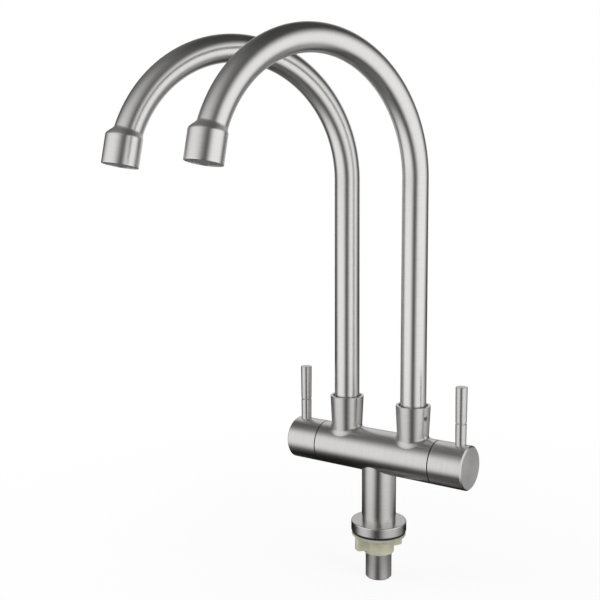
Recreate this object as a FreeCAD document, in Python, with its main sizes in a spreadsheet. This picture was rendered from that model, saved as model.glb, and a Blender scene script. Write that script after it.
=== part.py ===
"""Deck-mounted sink tap with one inlet, two swivelling goosenecks and a quarter-turn lever at each end.

The origin is the centre of the deck gasket's underside, where the tap meets the deck, with +Z up.
X runs along the horizontal barrel, and the spouts reach towards -Y. All sizes are millimetres.
"""
import FreeCAD, Part
import math
import os
import Sketcher

Vector = FreeCAD.Vector

# Driving dimensions, in millimetres and degrees
DIMENSIONS = {
    # Horizontal barrel and its chambers
    "axis_height": 66.2,
    "barrel_radius": 17.0,
    "barrel_half": 51.0,
    "inlet_chamber_half": 13.5,
    "inlet_chamber_wall": 5.0,
    "seat_face": 17.0,
    "seat_port_radius": 5.0,
    "outlet_chamber_wall": 4.0,
    "valve_thread_radius": 10.5,
    "valve_thread_length": 10.0,
    "seam_gap": 0.9,
    # Inlet shank, stem and flange
    "shank_radius": 10.48,
    "shank_wall": 2.8,
    "shank_drop": 38.0,
    "shank_chamfer": 1.0,
    "relief_depth": 0.6,
    "relief_width": 2.2,
    "spigot_wall": 1.18,
    "spigot_height": 10.0,
    "stem_wall": 2.0,
    "stem_port_radius": 9.0,
    "flange_margin": 8.5,
    "flange_height": 8.0,
    "flange_round": 0.9,
    "flange_chamfer": 0.6,
    # Gasket, washer and winged nut
    "gasket_inset": 0.7,
    "gasket_height": 1.5,
    "washer_inset": 0.5,
    "washer_height": 2.4,
    "nut_wall": 1.76,
    "nut_height": 14.1,
    "nut_edge": 0.6,
    "nut_turn": 58.0,
    "wing_reach": 8.1,
    "wing_width": 6.5,
    "wing_height": 11.3,
    "wing_round": 1.4,
    # Goosenecks
    "riser_offset": 30.4,
    "tube_radius": 10.0,
    "tube_wall": 1.0,
    "arc_radius": 94.1,
    "arc_height": 214.9,
    "arc_sweep": 158.5,
    "left_swing": -21.1,
    "right_swing": -14.6,
    # Feet of the goosenecks
    "foot_wall": 1.58,
    "spigot_rise": 6.0,
    "ring_section": 0.9,
    "ring_groove_width": 2.2,
    "ring_spacing": 4.0,
    "screw_groove_width": 4.6,
    "screw_groove_depth": 1.44,
    # Sockets that carry the goosenecks
    "socket_height": 24.8,
    "socket_floor_rise": 2.0,
    "socket_wall": 2.0,
    "socket_taper": 2.0,
    "port_step": 0.6,
    "weld_fillet": 2.4,
    "bush_wall": 1.42,
    "bush_height": 4.4,
    "bush_recess": 1.0,
    "socket_screw_depth": 8.5,
    "socket_screw_radius": 2.0,
    "socket_screw_length": 2.1,
    "socket_screw_key": 1.0,
    "socket_screw_key_depth": 1.1,
    "right_screw_turn": -15.5,
    "left_screw_turn": 120.0,
    # Outlets and aerators
    "outlet_out": 3.9,
    "outlet_drop": 5.9,
    "outlet_tilt": 11.0,
    "outlet_swell": 2.7,
    "outlet_wall": 1.2,
    "outlet_length": 19.3,
    "aerator_recess": 0.6,
    "aerator_height": 10.0,
    "aerator_wall": 1.2,
    "core_height": 6.0,
    "core_hole_radius": 0.75,
    "screen_height": 0.4,
    "aerator_seal_height": 1.6,
    # Quarter-turn valves
    "seal_height": 4.0,
    "seal_bore_radius": 4.6,
    "disc_radius": 6.75,
    "fixed_disc_height": 3.2,
    "moving_disc_height": 4.0,
    "disc_port_inner": 1.8,
    "disc_port_outer": 5.2,
    "disc_port_angle": 78.0,
    "nose_gap": 1.2,
    "nose_radius": 8.0,
    "nose_bore_radius": 6.95,
    "nose_bore_past": 0.9,
    "nose_collar": 2.0,
    "valve_waist_radius": 9.2,
    "window_inset": 1.0,
    "window_length": 5.8,
    "window_width": 8.0,
    "valve_gasket_height": 0.8,
    "valve_gasket_radius": 12.9,
    "hex_flats": 22.0,
    "hex_height": 4.0,
    "neck_radius": 7.2,
    "neck_length": 4.0,
    "spindle_radius": 4.0,
    "spindle_head_radius": 6.3,
    "spindle_head_height": 3.9,
    "spindle_reach": 9.5,
    "spindle_flat": 0.6,
    "spindle_ring_inset": 6.0,
    "spindle_ring_section": 0.5,
    "tongue_width": 3.0,
    "tongue_height": 1.6,
    "tongue_length": 11.0,
    "circlip_room": 0.5,
    "circlip_height": 0.8,
    "circlip_radius": 5.2,
    "circlip_depth": 0.6,
    "circlip_gap": 3.4,
    # Handles
    "handle_wall": 2.8,
    "handle_cavity_room": 0.9,
    "handle_cap": 7.4,
    "handle_chamfer": 1.1,
    "handle_screw_inset": 4.0,
    "handle_screw_radius": 2.5,
    "handle_screw_length": 11.0,
    "handle_screw_key": 1.25,
    "handle_screw_key_depth": 4.0,
    "screw_chamfer": 0.3,
    "lever_inset": 8.2,
    "lever_rise": 44.3,
    "lever_joint_rise": 17.0,
    "lever_foot_radius": 4.1,
    "lever_joint_radius": 4.25,
    "lever_top_radius": 4.5,
    "lever_seat_depth": 1.6,
    "lever_stud_radius": 3.0,
    "lever_stud_length": 6.0,
    "lever_groove": 0.9,
    "lever_edge": 0.55,
    # Clearances
    "running_fit": 0.06,
    "seat_fit": 0.02,
    "loose_gap": 0.3,
}

SIDES = (("left", -1, 180), ("right", 1, 0))

# How far the middle of a quarter circle lies inside its corner, for a radius of one
CORNER_SLACK = 1 - math.sqrt(0.5)

# Rings of holes in an aerator's core, and how many more holes each ring has than the one inside it
CORE_ROWS = 3
CORE_HOLES = 6


def facing(turn):
    """Which way along X an end of the tap points: 1 for the unturned right one, -1 for the left one."""
    return 1 if turn == 0 else -1


class Size:
    """A size with the sheet formula that gives it, so that a value and its binding are written once."""

    def __init__(self, value, formula):
        self.value = value
        self.formula = formula

    def __add__(self, other):
        other = sized(other)
        return Size(self.value + other.value, f"({self.formula} + {other.formula})")

    def __sub__(self, other):
        other = sized(other)
        return Size(self.value - other.value, f"({self.formula} - {other.formula})")

    def __mul__(self, other):
        other = sized(other)
        return Size(self.value * other.value, f"({self.formula} * {other.formula})")

    def __truediv__(self, other):
        other = sized(other)
        return Size(self.value / other.value, f"({self.formula} / {other.formula})")

    def __neg__(self):
        return self * -1


def sized(amount):
    """A plain number as a Size; a Size as it is."""
    return amount if isinstance(amount, Size) else Size(float(amount), repr(float(amount)))


def sine(angle):
    """The sine of an angle in degrees."""
    return Size(math.sin(math.radians(angle.value)), f"sin({angle.formula} * 1 deg)")


def cosine(angle):
    """The cosine of an angle in degrees."""
    return Size(math.cos(math.radians(angle.value)), f"cos({angle.formula} * 1 deg)")


class Sizes:
    """The driving dimensions as attributes, each bound to its cell, and the sizes that follow from them."""

    def __init__(self, dimensions):
        for name, number in dimensions.items():
            setattr(self, name, Size(number, f"Dimensions.{name}"))
        self.derive_base()
        self.derive_sockets()
        self.derive_valves()
        self.derive_handles()

    def derive_base(self):
        """Radii from the shank outwards, and heights above the deck."""
        self.stem_bore_radius = self.shank_radius + self.seat_fit * 2 + self.spigot_wall
        self.stem_radius = self.stem_bore_radius + self.stem_wall
        self.flange_radius = self.stem_radius + self.flange_margin
        self.gasket_radius = self.flange_radius - self.gasket_inset
        self.washer_radius = self.flange_radius - self.washer_inset
        self.nut_bore_radius = self.shank_radius + self.running_fit
        self.nut_radius = self.nut_bore_radius + self.nut_wall
        self.wing_radius = self.nut_radius + self.wing_reach
        self.flange_top = self.gasket_height + self.flange_height
        self.spigot_top = self.flange_top + self.spigot_height

    def derive_sockets(self):
        """Radii from the tube outwards, and heights above the barrel's axis."""
        self.foot_spigot_radius = self.tube_radius - self.tube_wall - self.seat_fit
        self.foot_port_radius = self.foot_spigot_radius - self.foot_wall
        self.riser_port_radius = self.foot_port_radius + self.port_step
        self.bush_bore_radius = self.tube_radius + self.running_fit
        self.socket_bore_radius = self.bush_bore_radius + self.bush_wall + self.seat_fit
        self.socket_top_radius = self.socket_bore_radius + self.socket_wall
        self.socket_foot_radius = self.socket_top_radius - self.socket_taper
        self.screw_groove_radius = self.socket_bore_radius - self.running_fit - self.screw_groove_depth
        self.outlet_radius = self.tube_radius + self.outlet_swell
        self.socket_floor = self.barrel_radius + self.socket_floor_rise
        self.socket_rise = self.barrel_radius + self.socket_height
        self.socket_screw_height = self.socket_rise - self.socket_screw_depth
        self.bush_top = self.socket_rise - self.bush_recess
        self.bush_bottom = self.bush_top - self.bush_height
        self.foot_bottom = self.socket_floor + self.loose_gap
        self.foot_top = self.bush_bottom - self.running_fit

    def derive_valves(self):
        """Places along the barrel's axis, from the seat in the barrel out to the spindle's end."""
        self.fixed_disc_start = self.seat_face + self.seal_height
        self.moving_disc_start = self.fixed_disc_start + self.fixed_disc_height
        self.moving_disc_end = self.moving_disc_start + self.moving_disc_height
        self.nose_start = self.seat_face + self.nose_gap
        self.window_start = self.moving_disc_start + self.window_inset
        self.window_end = self.window_start + self.window_length
        self.nose_end = self.window_end + self.nose_collar
        self.nose_bore_end = self.nose_end + self.nose_bore_past
        self.thread_start = self.barrel_half - self.valve_thread_length
        self.spindle_ring_place = self.barrel_half - self.spindle_ring_inset
        self.hex_start = self.barrel_half + self.valve_gasket_height
        self.hex_end = self.hex_start + self.hex_height
        self.neck_end = self.hex_end + self.neck_length
        self.circlip_place = self.neck_end + self.circlip_room
        self.circlip_end = self.circlip_place + self.circlip_height

    def derive_handles(self):
        """Places along the barrel's axis in a handle, and heights of its lever above that axis."""
        self.handle_start = self.barrel_half + self.seam_gap
        self.handle_cavity_end = self.circlip_end + self.handle_cavity_room
        self.handle_cavity_radius = self.barrel_radius - self.handle_wall
        self.spindle_end = self.handle_cavity_end + self.spindle_reach
        self.handle_end = self.spindle_end + self.loose_gap + self.handle_cap
        self.handle_screw_place = self.handle_cavity_end + self.handle_screw_inset
        self.lever_place = self.handle_end - self.lever_inset
        self.lever_seat = self.barrel_radius - self.lever_seat_depth
        self.lever_joint = self.barrel_radius + self.lever_joint_rise
        self.lever_top = self.barrel_radius + self.lever_rise


s = Sizes(DIMENSIONS)
doc = FreeCAD.newDocument("SinkTap")
pieces = []


def fill_sheet():
    """Writes each driving dimension into its own cell, under its name."""
    sheet = doc.addObject("Spreadsheet::Sheet", "Dimensions")
    for row, (name, number) in enumerate(DIMENSIONS.items(), start=1):
        sheet.set(f"A{row}", name)
        sheet.set(f"B{row}", str(number))
        sheet.setAlias(f"B{row}", name)
    doc.recompute()


def bind(target, **sizes):
    """Ties properties of an object to their sizes."""
    for name, size in sizes.items():
        target.setExpression(name, sized(size).formula)


def place(target, x=0, y=0, z=0, yaw=0, tilt=0):
    """Puts an object at a point, tilted about X and then turned about Z."""
    x, y, z, yaw, tilt = (sized(amount).formula for amount in (x, y, z, yaw, tilt))
    target.setExpression("Placement", f"placement(vector({x}; {y}; {z}); rotationz({yaw}) * rotationx({tilt}))")


def place_along_x(target, x, z=0, spin=0):
    """Puts an object whose axis is Z at a point, lying along X, after a turn about its own axis."""
    x, z, spin = (sized(amount).formula for amount in (x, z, spin))
    target.setExpression("Placement", f"placement(vector({x}; 0; {z}); rotationy(90) * rotationz({spin}))")


def keep(piece, label):
    """Makes an object one of the tap's pieces, under its own name."""
    piece.Label = label
    pieces.append(piece)
    return piece


def new_body(label):
    """An empty body for one piece."""
    return keep(doc.addObject("PartDesign::Body", label), label)


def origin_plane(body, role):
    """One of a body's own origin planes."""
    return next(plane for plane in body.Origin.OriginFeatures if plane.Role == role)


def new_sketch(body, name, plane, offset=None):
    """A sketch on one of the body's planes, raised along the plane's normal by an offset."""
    sketch = body.newObject("Sketcher::SketchObject", name)
    sketch.AttachmentSupport = [(origin_plane(body, plane), "")]
    sketch.MapMode = "FlatFace"
    if offset is not None:
        sketch.setExpression("AttachmentOffset.Base.z", sized(offset).formula)
    return sketch


def tie(sketch, kind, size, *geometry):
    """Adds a dimension to a sketch and binds it where its size comes from the sheet."""
    size = sized(size)
    index = sketch.addConstraint(Sketcher.Constraint(kind, *geometry, size.value))
    sketch.setExpression(f"Constraints[{index}]", size.formula)


def tie_point(sketch, geometry, end, across, along):
    """Fixes a point of a sketch by its two distances from the origin."""
    tie(sketch, "DistanceX", across, -1, 1, geometry, end)
    tie(sketch, "DistanceY", along, -1, 1, geometry, end)


def outline(sketch, corners):
    """Draws a closed outline of straight lines whose corners are tied to the sheet."""
    corners = [(sized(across), sized(along)) for across, along in corners]
    first = sketch.GeometryCount
    for start, end in zip(corners, corners[1:] + corners[:1]):
        ends = [Vector(across.value, along.value, 0) for across, along in (start, end)]
        sketch.addGeometry(Part.LineSegment(*ends), False)
    for number, (across, along) in enumerate(corners):
        following = first + (number + 1) % len(corners)
        sketch.addConstraint(Sketcher.Constraint("Coincident", first + number, 2, following, 1))
        tie_point(sketch, first + number, 1, across, along)


def circle(sketch, radius, across=0, along=0):
    """Draws a circle whose centre and radius are tied to the sheet."""
    radius, across, along = sized(radius), sized(across), sized(along)
    centre = Vector(across.value, along.value, 0)
    index = sketch.addGeometry(Part.Circle(centre, Vector(0, 0, 1), radius.value), False)
    tie_point(sketch, index, 3, across, along)
    tie(sketch, "Radius", radius, index)


def turn_outline(body, corners, axis="V_Axis", name="Turning"):
    """Turns an outline of (across, up) points about the vertical axis, or about X for "H_Axis"."""
    sketch = new_sketch(body, f"{name}Outline", "XZ_Plane")
    outline(sketch, corners)
    turning = body.newObject("PartDesign::Revolution", name)
    turning.Profile = sketch
    turning.ReferenceAxis = (sketch, [axis])
    turning.Angle = 360
    return turning


def turned(label, corners, axis="V_Axis"):
    """A piece turned from one outline."""
    body = new_body(label)
    turn_outline(body, corners, axis)
    return body


def ring(label, inner, outer, bottom, top):
    """A plain ring about the vertical axis."""
    return turned(label, [(inner, bottom), (outer, bottom), (outer, top), (inner, top)])


def pad(body, sketch, length, name="Pad"):
    """Adds a sketch's area to a body, over a length along the sketch's normal."""
    feature = body.newObject("PartDesign::Pad", name)
    feature.Profile = sketch
    bind(feature, Length=length)
    return feature


def pocket(body, sketch, length, forwards, name="Pocket"):
    """Cuts a sketch's area out of a body, along the sketch's normal or against it, and checks that it cut."""
    doc.recompute()
    before = body.Shape.Volume
    feature = body.newObject("PartDesign::Pocket", name)
    feature.Profile = sketch
    feature.Reversed = forwards
    bind(feature, Length=length)
    doc.recompute()
    if body.Shape.Volume >= before:
        raise ValueError(f"{body.Label}: {name} cuts nothing")
    return feature


def drill(body, name, radius, start, depth, upwards, across=0, along=0, plane="XY_Plane"):
    """Drills a round hole square to a plane, from a height along the plane's normal."""
    sketch = new_sketch(body, f"{name}Circle", plane, start)
    circle(sketch, radius, across, along)
    return pocket(body, sketch, depth, upwards, name)


def repeat_around(body, feature, axis_role, count, name="Repeat"):
    """Repeats a feature evenly about one of the body's axes."""
    pattern = body.newObject("PartDesign::PolarPattern", name)
    pattern.Originals = [feature]
    pattern.Axis = (origin_plane(body, axis_role), [""])
    pattern.Angle = 360
    pattern.Occurrences = count
    body.Tip = pattern
    return pattern


def solid(kind, name, **sizes):
    """A primitive solid with its sizes bound."""
    primitive = doc.addObject(kind, name)
    bind(primitive, **sizes)
    return primitive


def cut(base, tool, name):
    """One shape with another taken out of it."""
    result = doc.addObject("Part::Cut", name)
    result.Base = base
    result.Tool = tool
    return result


def joined(shapes, name):
    """Several shapes made one."""
    result = doc.addObject("Part::MultiFuse", name)
    result.Shapes = shapes
    return result


def barrel_rod(name):
    """A solid rod as thick as the barrel, lying along its axis, which shapes what is welded to it."""
    rod = solid("Part::Cylinder", name, Radius=s.barrel_radius, Height=s.barrel_half * 2)
    place_along_x(rod, -s.barrel_half, s.axis_height)
    return rod


def o_ring(label, radius, section, **spot):
    """A rubber ring of round section about the vertical axis."""
    rubber = keep(solid("Part::Torus", label, Radius1=radius, Radius2=section), label)
    place(rubber, **spot)
    return rubber


def hexagon(sketch, corner_radius):
    """Draws a hexagon about the sketch's origin."""
    angles = [math.radians(60 * number) for number in range(6)]
    outline(sketch, [(corner_radius * math.cos(angle), corner_radius * math.sin(angle)) for angle in angles])


def grub_screw(label, radius, length, key, key_depth):
    """A headless screw along Z with a hexagon socket in its outer end, which is at the top."""
    body = turned(label, [
        (0, 0),
        (radius - s.screw_chamfer, 0),
        (radius, s.screw_chamfer),
        (radius, length),
        (0, length),
    ])
    sketch = new_sketch(body, "Key", "XY_Plane", length)
    hexagon(sketch, key)
    pocket(body, sketch, key_depth, False, "Socket")
    return body


def make_barrel():
    """The cast barrel: an inlet chamber in the middle, a valve seat and an outlet chamber towards each end."""
    outlet_chamber_radius = s.barrel_radius - s.outlet_chamber_wall
    inside = [
        (s.barrel_half, s.valve_thread_radius),
        (s.thread_start, s.valve_thread_radius),
        (s.thread_start, outlet_chamber_radius),
        (s.seat_face, outlet_chamber_radius),
        (s.seat_face, s.seat_port_radius),
        (s.inlet_chamber_half, s.seat_port_radius),
        (s.inlet_chamber_half, s.barrel_radius - s.inlet_chamber_wall),
    ]
    mirrored = [(-along, radius) for along, radius in reversed(inside)]
    outside = [(-s.barrel_half, s.barrel_radius), (s.barrel_half, s.barrel_radius)]
    barrel = turned("valve_body", inside + mirrored + outside, "H_Axis")
    risers = new_sketch(barrel, "RiserPorts", "XY_Plane")
    for _, side, _ in SIDES:
        circle(risers, s.riser_port_radius, s.riser_offset * side)
    pocket(barrel, risers, s.barrel_radius, True, "RiserCut")
    drill(barrel, "StemPort", s.stem_port_radius, 0, s.barrel_radius, False)
    place(barrel, z=s.axis_height)


def make_stem():
    """The upright tube from the flange to the barrel, its top notched to the barrel's round underside."""
    height = s.axis_height - s.flange_top
    tube = solid("Part::Cylinder", "StemOutside", Radius=s.stem_radius, Height=height)
    bore = solid("Part::Cylinder", "StemInside", Radius=s.stem_bore_radius, Height=height)
    for shape in (tube, bore):
        place(shape, z=s.flange_top)
    pipe = cut(tube, bore, "StemPipe")
    keep(cut(pipe, barrel_rod("StemNotch"), "StemColumn"), "stem_column")


def make_flange():
    """The base flange: a disc with a spigot inside the stem and a bore that holds the shank."""
    bore = s.shank_radius + s.seat_fit
    spigot = s.stem_bore_radius - s.seat_fit
    slack = s.flange_round * CORNER_SLACK
    turned("base_flange", [
        (bore, s.gasket_height),
        (s.flange_radius - s.flange_chamfer, s.gasket_height),
        (s.flange_radius, s.gasket_height + s.flange_chamfer),
        (s.flange_radius, s.flange_top - s.flange_round),
        (s.flange_radius - slack, s.flange_top - slack),
        (s.flange_radius - s.flange_round, s.flange_top),
        (spigot, s.flange_top),
        (spigot, s.spigot_top),
        (bore, s.spigot_top),
    ])


def make_shank():
    """The inlet shank: a thread for the nut above a relief groove, and a thread for the supply hose below it."""
    groove_low = -(s.washer_height + s.nut_height + s.loose_gap)
    groove_high = groove_low + s.relief_width
    bore = s.shank_radius - s.shank_wall
    turned("inlet_shank", [
        (bore, -s.shank_drop),
        (s.shank_radius - s.shank_chamfer, -s.shank_drop),
        (s.shank_radius, s.shank_chamfer - s.shank_drop),
        (s.shank_radius, groove_low),
        (s.shank_radius - s.relief_depth, groove_low),
        (s.shank_radius - s.relief_depth, groove_high),
        (s.shank_radius, groove_high),
        (s.shank_radius, s.spigot_top),
        (bore, s.spigot_top),
    ])


def make_clamp():
    """The rubber gasket above the deck, and the washer and winged nut that clamp it from below."""
    loose_bore = s.shank_radius + s.loose_gap
    ring("deck_gasket", loose_bore, s.gasket_radius, 0, s.gasket_height)
    ring("clamp_washer", loose_bore, s.washer_radius, -s.washer_height, 0)
    top = -s.washer_height
    bottom = top - s.nut_height
    nut = turned("mounting_nut", [
        (s.nut_bore_radius, bottom),
        (s.nut_radius - s.nut_edge, bottom),
        (s.nut_radius, bottom + s.nut_edge),
        (s.nut_radius, top),
        (s.nut_bore_radius, top),
    ])
    sketch = new_sketch(nut, "WingOutline", "XZ_Plane", -s.wing_width / 2)
    wing_bottom = top - s.wing_height
    inner = (s.nut_bore_radius + s.nut_radius) / 2
    slack = s.wing_round * CORNER_SLACK
    outline(sketch, [
        (inner, top),
        (s.wing_radius, top),
        (s.wing_radius, wing_bottom + s.wing_round),
        (s.wing_radius - slack, wing_bottom + slack),
        (s.wing_radius - s.wing_round, wing_bottom),
        (inner, wing_bottom),
    ])
    wing = pad(nut, sketch, s.wing_width, "Wing")
    repeat_around(nut, wing, "Z_Axis", 2, "Wings")
    place(nut, yaw=s.nut_turn)


def make_socket(name, side, screw_turn):
    """One spout socket, flared into the barrel by its weld and drilled for its screw."""
    x = s.riser_offset * side
    cone = solid(
        "Part::Cone",
        f"{name}SocketCone",
        Radius1=s.socket_foot_radius,
        Radius2=s.socket_top_radius,
        Height=s.socket_rise,
    )
    place(cone, x=x, z=s.axis_height)
    welded = joined([barrel_rod(f"{name}WeldRod"), cone], f"{name}Welded")
    doc.recompute()
    fillet = doc.addObject("Part::Fillet", f"{name}WeldFillet")
    fillet.Base = welded
    seam = next(
        number
        for number, edge in enumerate(welded.Shape.Edges, start=1)
        if edge.Curve.TypeId == "Part::GeomBSplineCurve"
    )
    fillet.Edges = [(seam, s.weld_fillet.value, s.weld_fillet.value)]
    outside = cut(fillet, barrel_rod(f"{name}NotchRod"), f"{name}Notched")
    bore = solid(
        "Part::Cylinder",
        f"{name}SocketBore",
        Radius=s.socket_bore_radius,
        Height=s.socket_rise - s.socket_floor,
    )
    place(bore, x=x, z=s.axis_height + s.socket_floor)
    port = solid("Part::Cylinder", f"{name}SocketPort", Radius=s.riser_port_radius, Height=s.socket_floor)
    place(port, x=x, z=s.axis_height)
    tapping = solid(
        "Part::Cylinder",
        f"{name}SocketTapping",
        Radius=s.socket_screw_radius + s.seat_fit,
        Height=s.socket_top_radius,
    )
    point = [x.formula, "0", (s.axis_height + s.socket_screw_height).formula]
    turning = f"rotationz({screw_turn.formula}) * rotationy(90)"
    tapping.setExpression("Placement", f"placement(vector({'; '.join(point)}); {turning})")
    hollow = joined([bore, port, tapping], f"{name}Hollow")
    keep(cut(outside, hollow, f"{name}Socket"), f"{name}_spout_socket")
    make_socket_screw(name, point, turning)
    make_bush(name, x)


def make_socket_screw(name, point, turning):
    """The grub screw that keeps one spout in its socket, its tip in the spout foot's groove."""
    screw = grub_screw(
        f"{name}_socket_screw",
        s.socket_screw_radius,
        s.socket_screw_length,
        s.socket_screw_key,
        s.socket_screw_key_depth,
    )
    reach = s.screw_groove_radius + s.loose_gap
    spot = f"placement(vector({'; '.join(point)}); {turning})"
    screw.setExpression("Placement", f"{spot} * placement(vector(0; 0; {reach.formula}); rotationz(0))")


def make_bush(name, x):
    """The plastic bush in a socket's mouth, in which the spout turns."""
    bush = ring(
        f"{name}_swivel_bush",
        s.bush_bore_radius,
        s.socket_bore_radius - s.seat_fit,
        s.bush_bottom,
        s.bush_top,
    )
    place(bush, x=x, z=s.axis_height)


def make_spout(name, side, swing):
    """One gooseneck with its foot, O-rings, outlet and aerator, all turned about the riser's axis."""
    spot = {"x": s.riser_offset * side, "z": s.axis_height, "yaw": swing}
    make_tube(name, spot)
    make_foot(name, spot)
    make_outlet(name, spot)
    make_aerator(name, spot)


def tube_end():
    """How far out and how high the tube's far end is, in the spout's own plane."""
    out = s.arc_radius * (sized(1) - cosine(s.arc_sweep))
    return out, s.arc_height + s.arc_radius * sine(s.arc_sweep)


def make_tube(name, spot):
    """The bent tube: a straight riser and one long arc."""
    body = new_body(f"{name}_spout_tube")
    section = new_sketch(body, "Section", "XY_Plane", s.foot_top)
    circle(section, s.tube_radius)
    circle(section, s.tube_radius - s.tube_wall)
    path = new_sketch(body, "Path", "YZ_Plane")
    low, high = Vector(0, s.foot_top.value, 0), Vector(0, s.arc_height.value, 0)
    path.addGeometry(Part.LineSegment(low, high), False)
    centre = Vector(-s.arc_radius.value, s.arc_height.value, 0)
    bend = Part.Circle(centre, Vector(0, 0, 1), s.arc_radius.value)
    path.addGeometry(Part.ArcOfCircle(bend, 0, math.radians(s.arc_sweep.value)), False)
    path.addConstraint(Sketcher.Constraint("Coincident", 0, 2, 1, 1))
    tie_point(path, 0, 1, 0, s.foot_top)
    tie_point(path, 0, 2, 0, s.arc_height)
    tie_point(path, 1, 3, -s.arc_radius, s.arc_height)
    out, _ = tube_end()
    tie(path, "DistanceX", -out, -1, 1, 1, 2)
    pipe = body.newObject("PartDesign::AdditivePipe", "Bend")
    pipe.Profile = section
    pipe.Spine = (path, ["Edge1", "Edge2"])
    place(body, **spot)


def make_foot(name, spot):
    """The turned foot under the tube, with two O-ring grooves, the screw's groove and a spigot in the tube."""
    outer = s.socket_bore_radius - s.running_fit
    floor = outer - s.ring_section * 2
    corners = [(s.foot_port_radius, s.foot_bottom), (outer, s.foot_bottom)]
    first_ring = s.foot_bottom + s.ring_groove_width
    rings = [first_ring, first_ring + s.ring_spacing]
    for middle in rings:
        under, over = middle - s.ring_groove_width / 2, middle + s.ring_groove_width / 2
        corners += [(outer, under), (floor, under), (floor, over), (outer, over)]
    under = s.socket_screw_height - s.screw_groove_width / 2
    over = s.socket_screw_height + s.screw_groove_width / 2
    corners += [
        (outer, under),
        (s.screw_groove_radius, under),
        (s.screw_groove_radius, over),
        (outer, over),
        (outer, s.foot_top),
        (s.foot_spigot_radius, s.foot_top),
        (s.foot_spigot_radius, s.foot_top + s.spigot_rise),
        (s.foot_port_radius, s.foot_top + s.spigot_rise),
    ]
    foot = turned(f"{name}_spout_foot", corners)
    place(foot, **spot)
    for number, middle in enumerate(rings, start=1):
        label = f"{name}_spout_o_ring_{number}"
        rise = s.axis_height + middle
        o_ring(label, floor + s.ring_section, s.ring_section, x=spot["x"], z=rise)


def outlet_top():
    """How far out and how high the middle of the outlet's top is, in the spout's own plane."""
    out, high = tube_end()
    return out + s.outlet_out, high - s.outlet_drop


def outlet_mouth():
    """How far out and how high the middle of the outlet's mouth is, in the spout's own plane."""
    out, high = outlet_top()
    return out + s.outlet_length * sine(s.outlet_tilt), high - s.outlet_length * cosine(s.outlet_tilt)


def spout_shape(spot, local):
    """The placement formula of a shape given in a spout's own frame."""
    x, z, yaw = (sized(spot[key]).formula for key in ("x", "z", "yaw"))
    return f"placement(vector({x}; 0; {z}); rotationz({yaw})) * {local}"


def in_plane(point, tilt):
    """The placement formula of a point (out, up) in a spout's plane, tilted about X."""
    out, high = point
    return f"placement(vector(0; {(-out).formula}; {high.formula}); rotationx({sized(tilt).formula}))"


def make_outlet(name, spot):
    """The outlet: a barrel that swells out of the tube's end, bored right through."""
    tilts = (s.arc_sweep - 180, -s.outlet_tilt)
    mouth = spout_shape(spot, in_plane(outlet_mouth(), tilts[1]))
    halves = []
    radii = {
        "Outside": (s.tube_radius, s.outlet_radius),
        "Inside": (s.tube_radius - s.tube_wall, s.outlet_radius - s.outlet_wall),
    }
    for half, (narrow, wide) in radii.items():
        rims = []
        for rim, radius, point, tilt in zip("AB", (narrow, wide), (tube_end(), outlet_top()), tilts):
            edge = solid("Part::Circle", f"{name}{half}Rim{rim}", Radius=radius)
            edge.setExpression("Placement", spout_shape(spot, in_plane(point, tilt)))
            rims.append(edge)
        swell = doc.addObject("Part::Loft", f"{name}{half}Swell")
        swell.Sections = rims
        swell.Solid = True
        swell.Ruled = True
        straight = solid("Part::Cylinder", f"{name}{half}Straight", Radius=wide, Height=s.outlet_length)
        straight.setExpression("Placement", mouth)
        halves.append(joined([swell, straight], f"{name}{half}Outlet"))
    keep(cut(*halves, f"{name}Outlet"), f"{name}_outlet")


def make_aerator(name, spot):
    """The aerator in an outlet's mouth: a threaded ring, a pierced core, a fine screen and a seal above them."""
    mouth = spout_shape(spot, in_plane(outlet_mouth(), -s.outlet_tilt))
    bore = s.outlet_radius - s.outlet_wall
    shell_outer = bore - s.seat_fit
    shell_inner = shell_outer - s.aerator_wall
    low = s.aerator_recess
    high = low + s.aerator_height
    core_top = low + s.core_height
    core_radius = shell_inner - s.seat_fit
    screen_top = core_top + s.screen_height
    shell = ring(f"{name}_aerator_ring", shell_inner, shell_outer, low, high)
    core = turned(f"{name}_aerator_core", [(0, low), (core_radius, low), (core_radius, core_top), (0, core_top)])
    row_spacing = core_radius / (CORE_ROWS + 1)
    for row in range(1, CORE_ROWS + 1):
        hole = drill(core, f"Hole{row}", s.core_hole_radius, low, s.core_height, True, row_spacing * row)
        repeat_around(core, hole, "Z_Axis", CORE_HOLES * row, f"Row{row}")
    screen = ring(f"{name}_aerator_screen", s.core_hole_radius, core_radius, core_top, screen_top)
    seal = ring(f"{name}_aerator_seal", shell_inner, shell_outer, high, high + s.aerator_seal_height)
    for piece in (shell, core, screen, seal):
        piece.setExpression("Placement", mouth)


def disc_ports(name, start, height, first_angle):
    """Two sector-shaped ports through a ceramic disc, opposite each other."""
    sectors = []
    for number in range(2):
        wide = solid(
            "Part::Cylinder",
            f"{name}Sector{number}",
            Radius=s.disc_port_outer,
            Height=height,
            Angle=s.disc_port_angle,
        )
        place_along_x(wide, start, spin=sized(first_angle + 180 * number) - s.disc_port_angle / 2)
        sectors.append(wide)
    middle = solid("Part::Cylinder", f"{name}Middle", Radius=s.disc_port_inner, Height=height)
    place_along_x(middle, start)
    return cut(joined(sectors, f"{name}Sectors"), middle, f"{name}Ports")


def disc(name, start, height):
    """A plain disc about the barrel's axis."""
    plain = solid("Part::Cylinder", name, Radius=s.disc_radius, Height=height)
    place_along_x(plain, start)
    return plain


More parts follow.
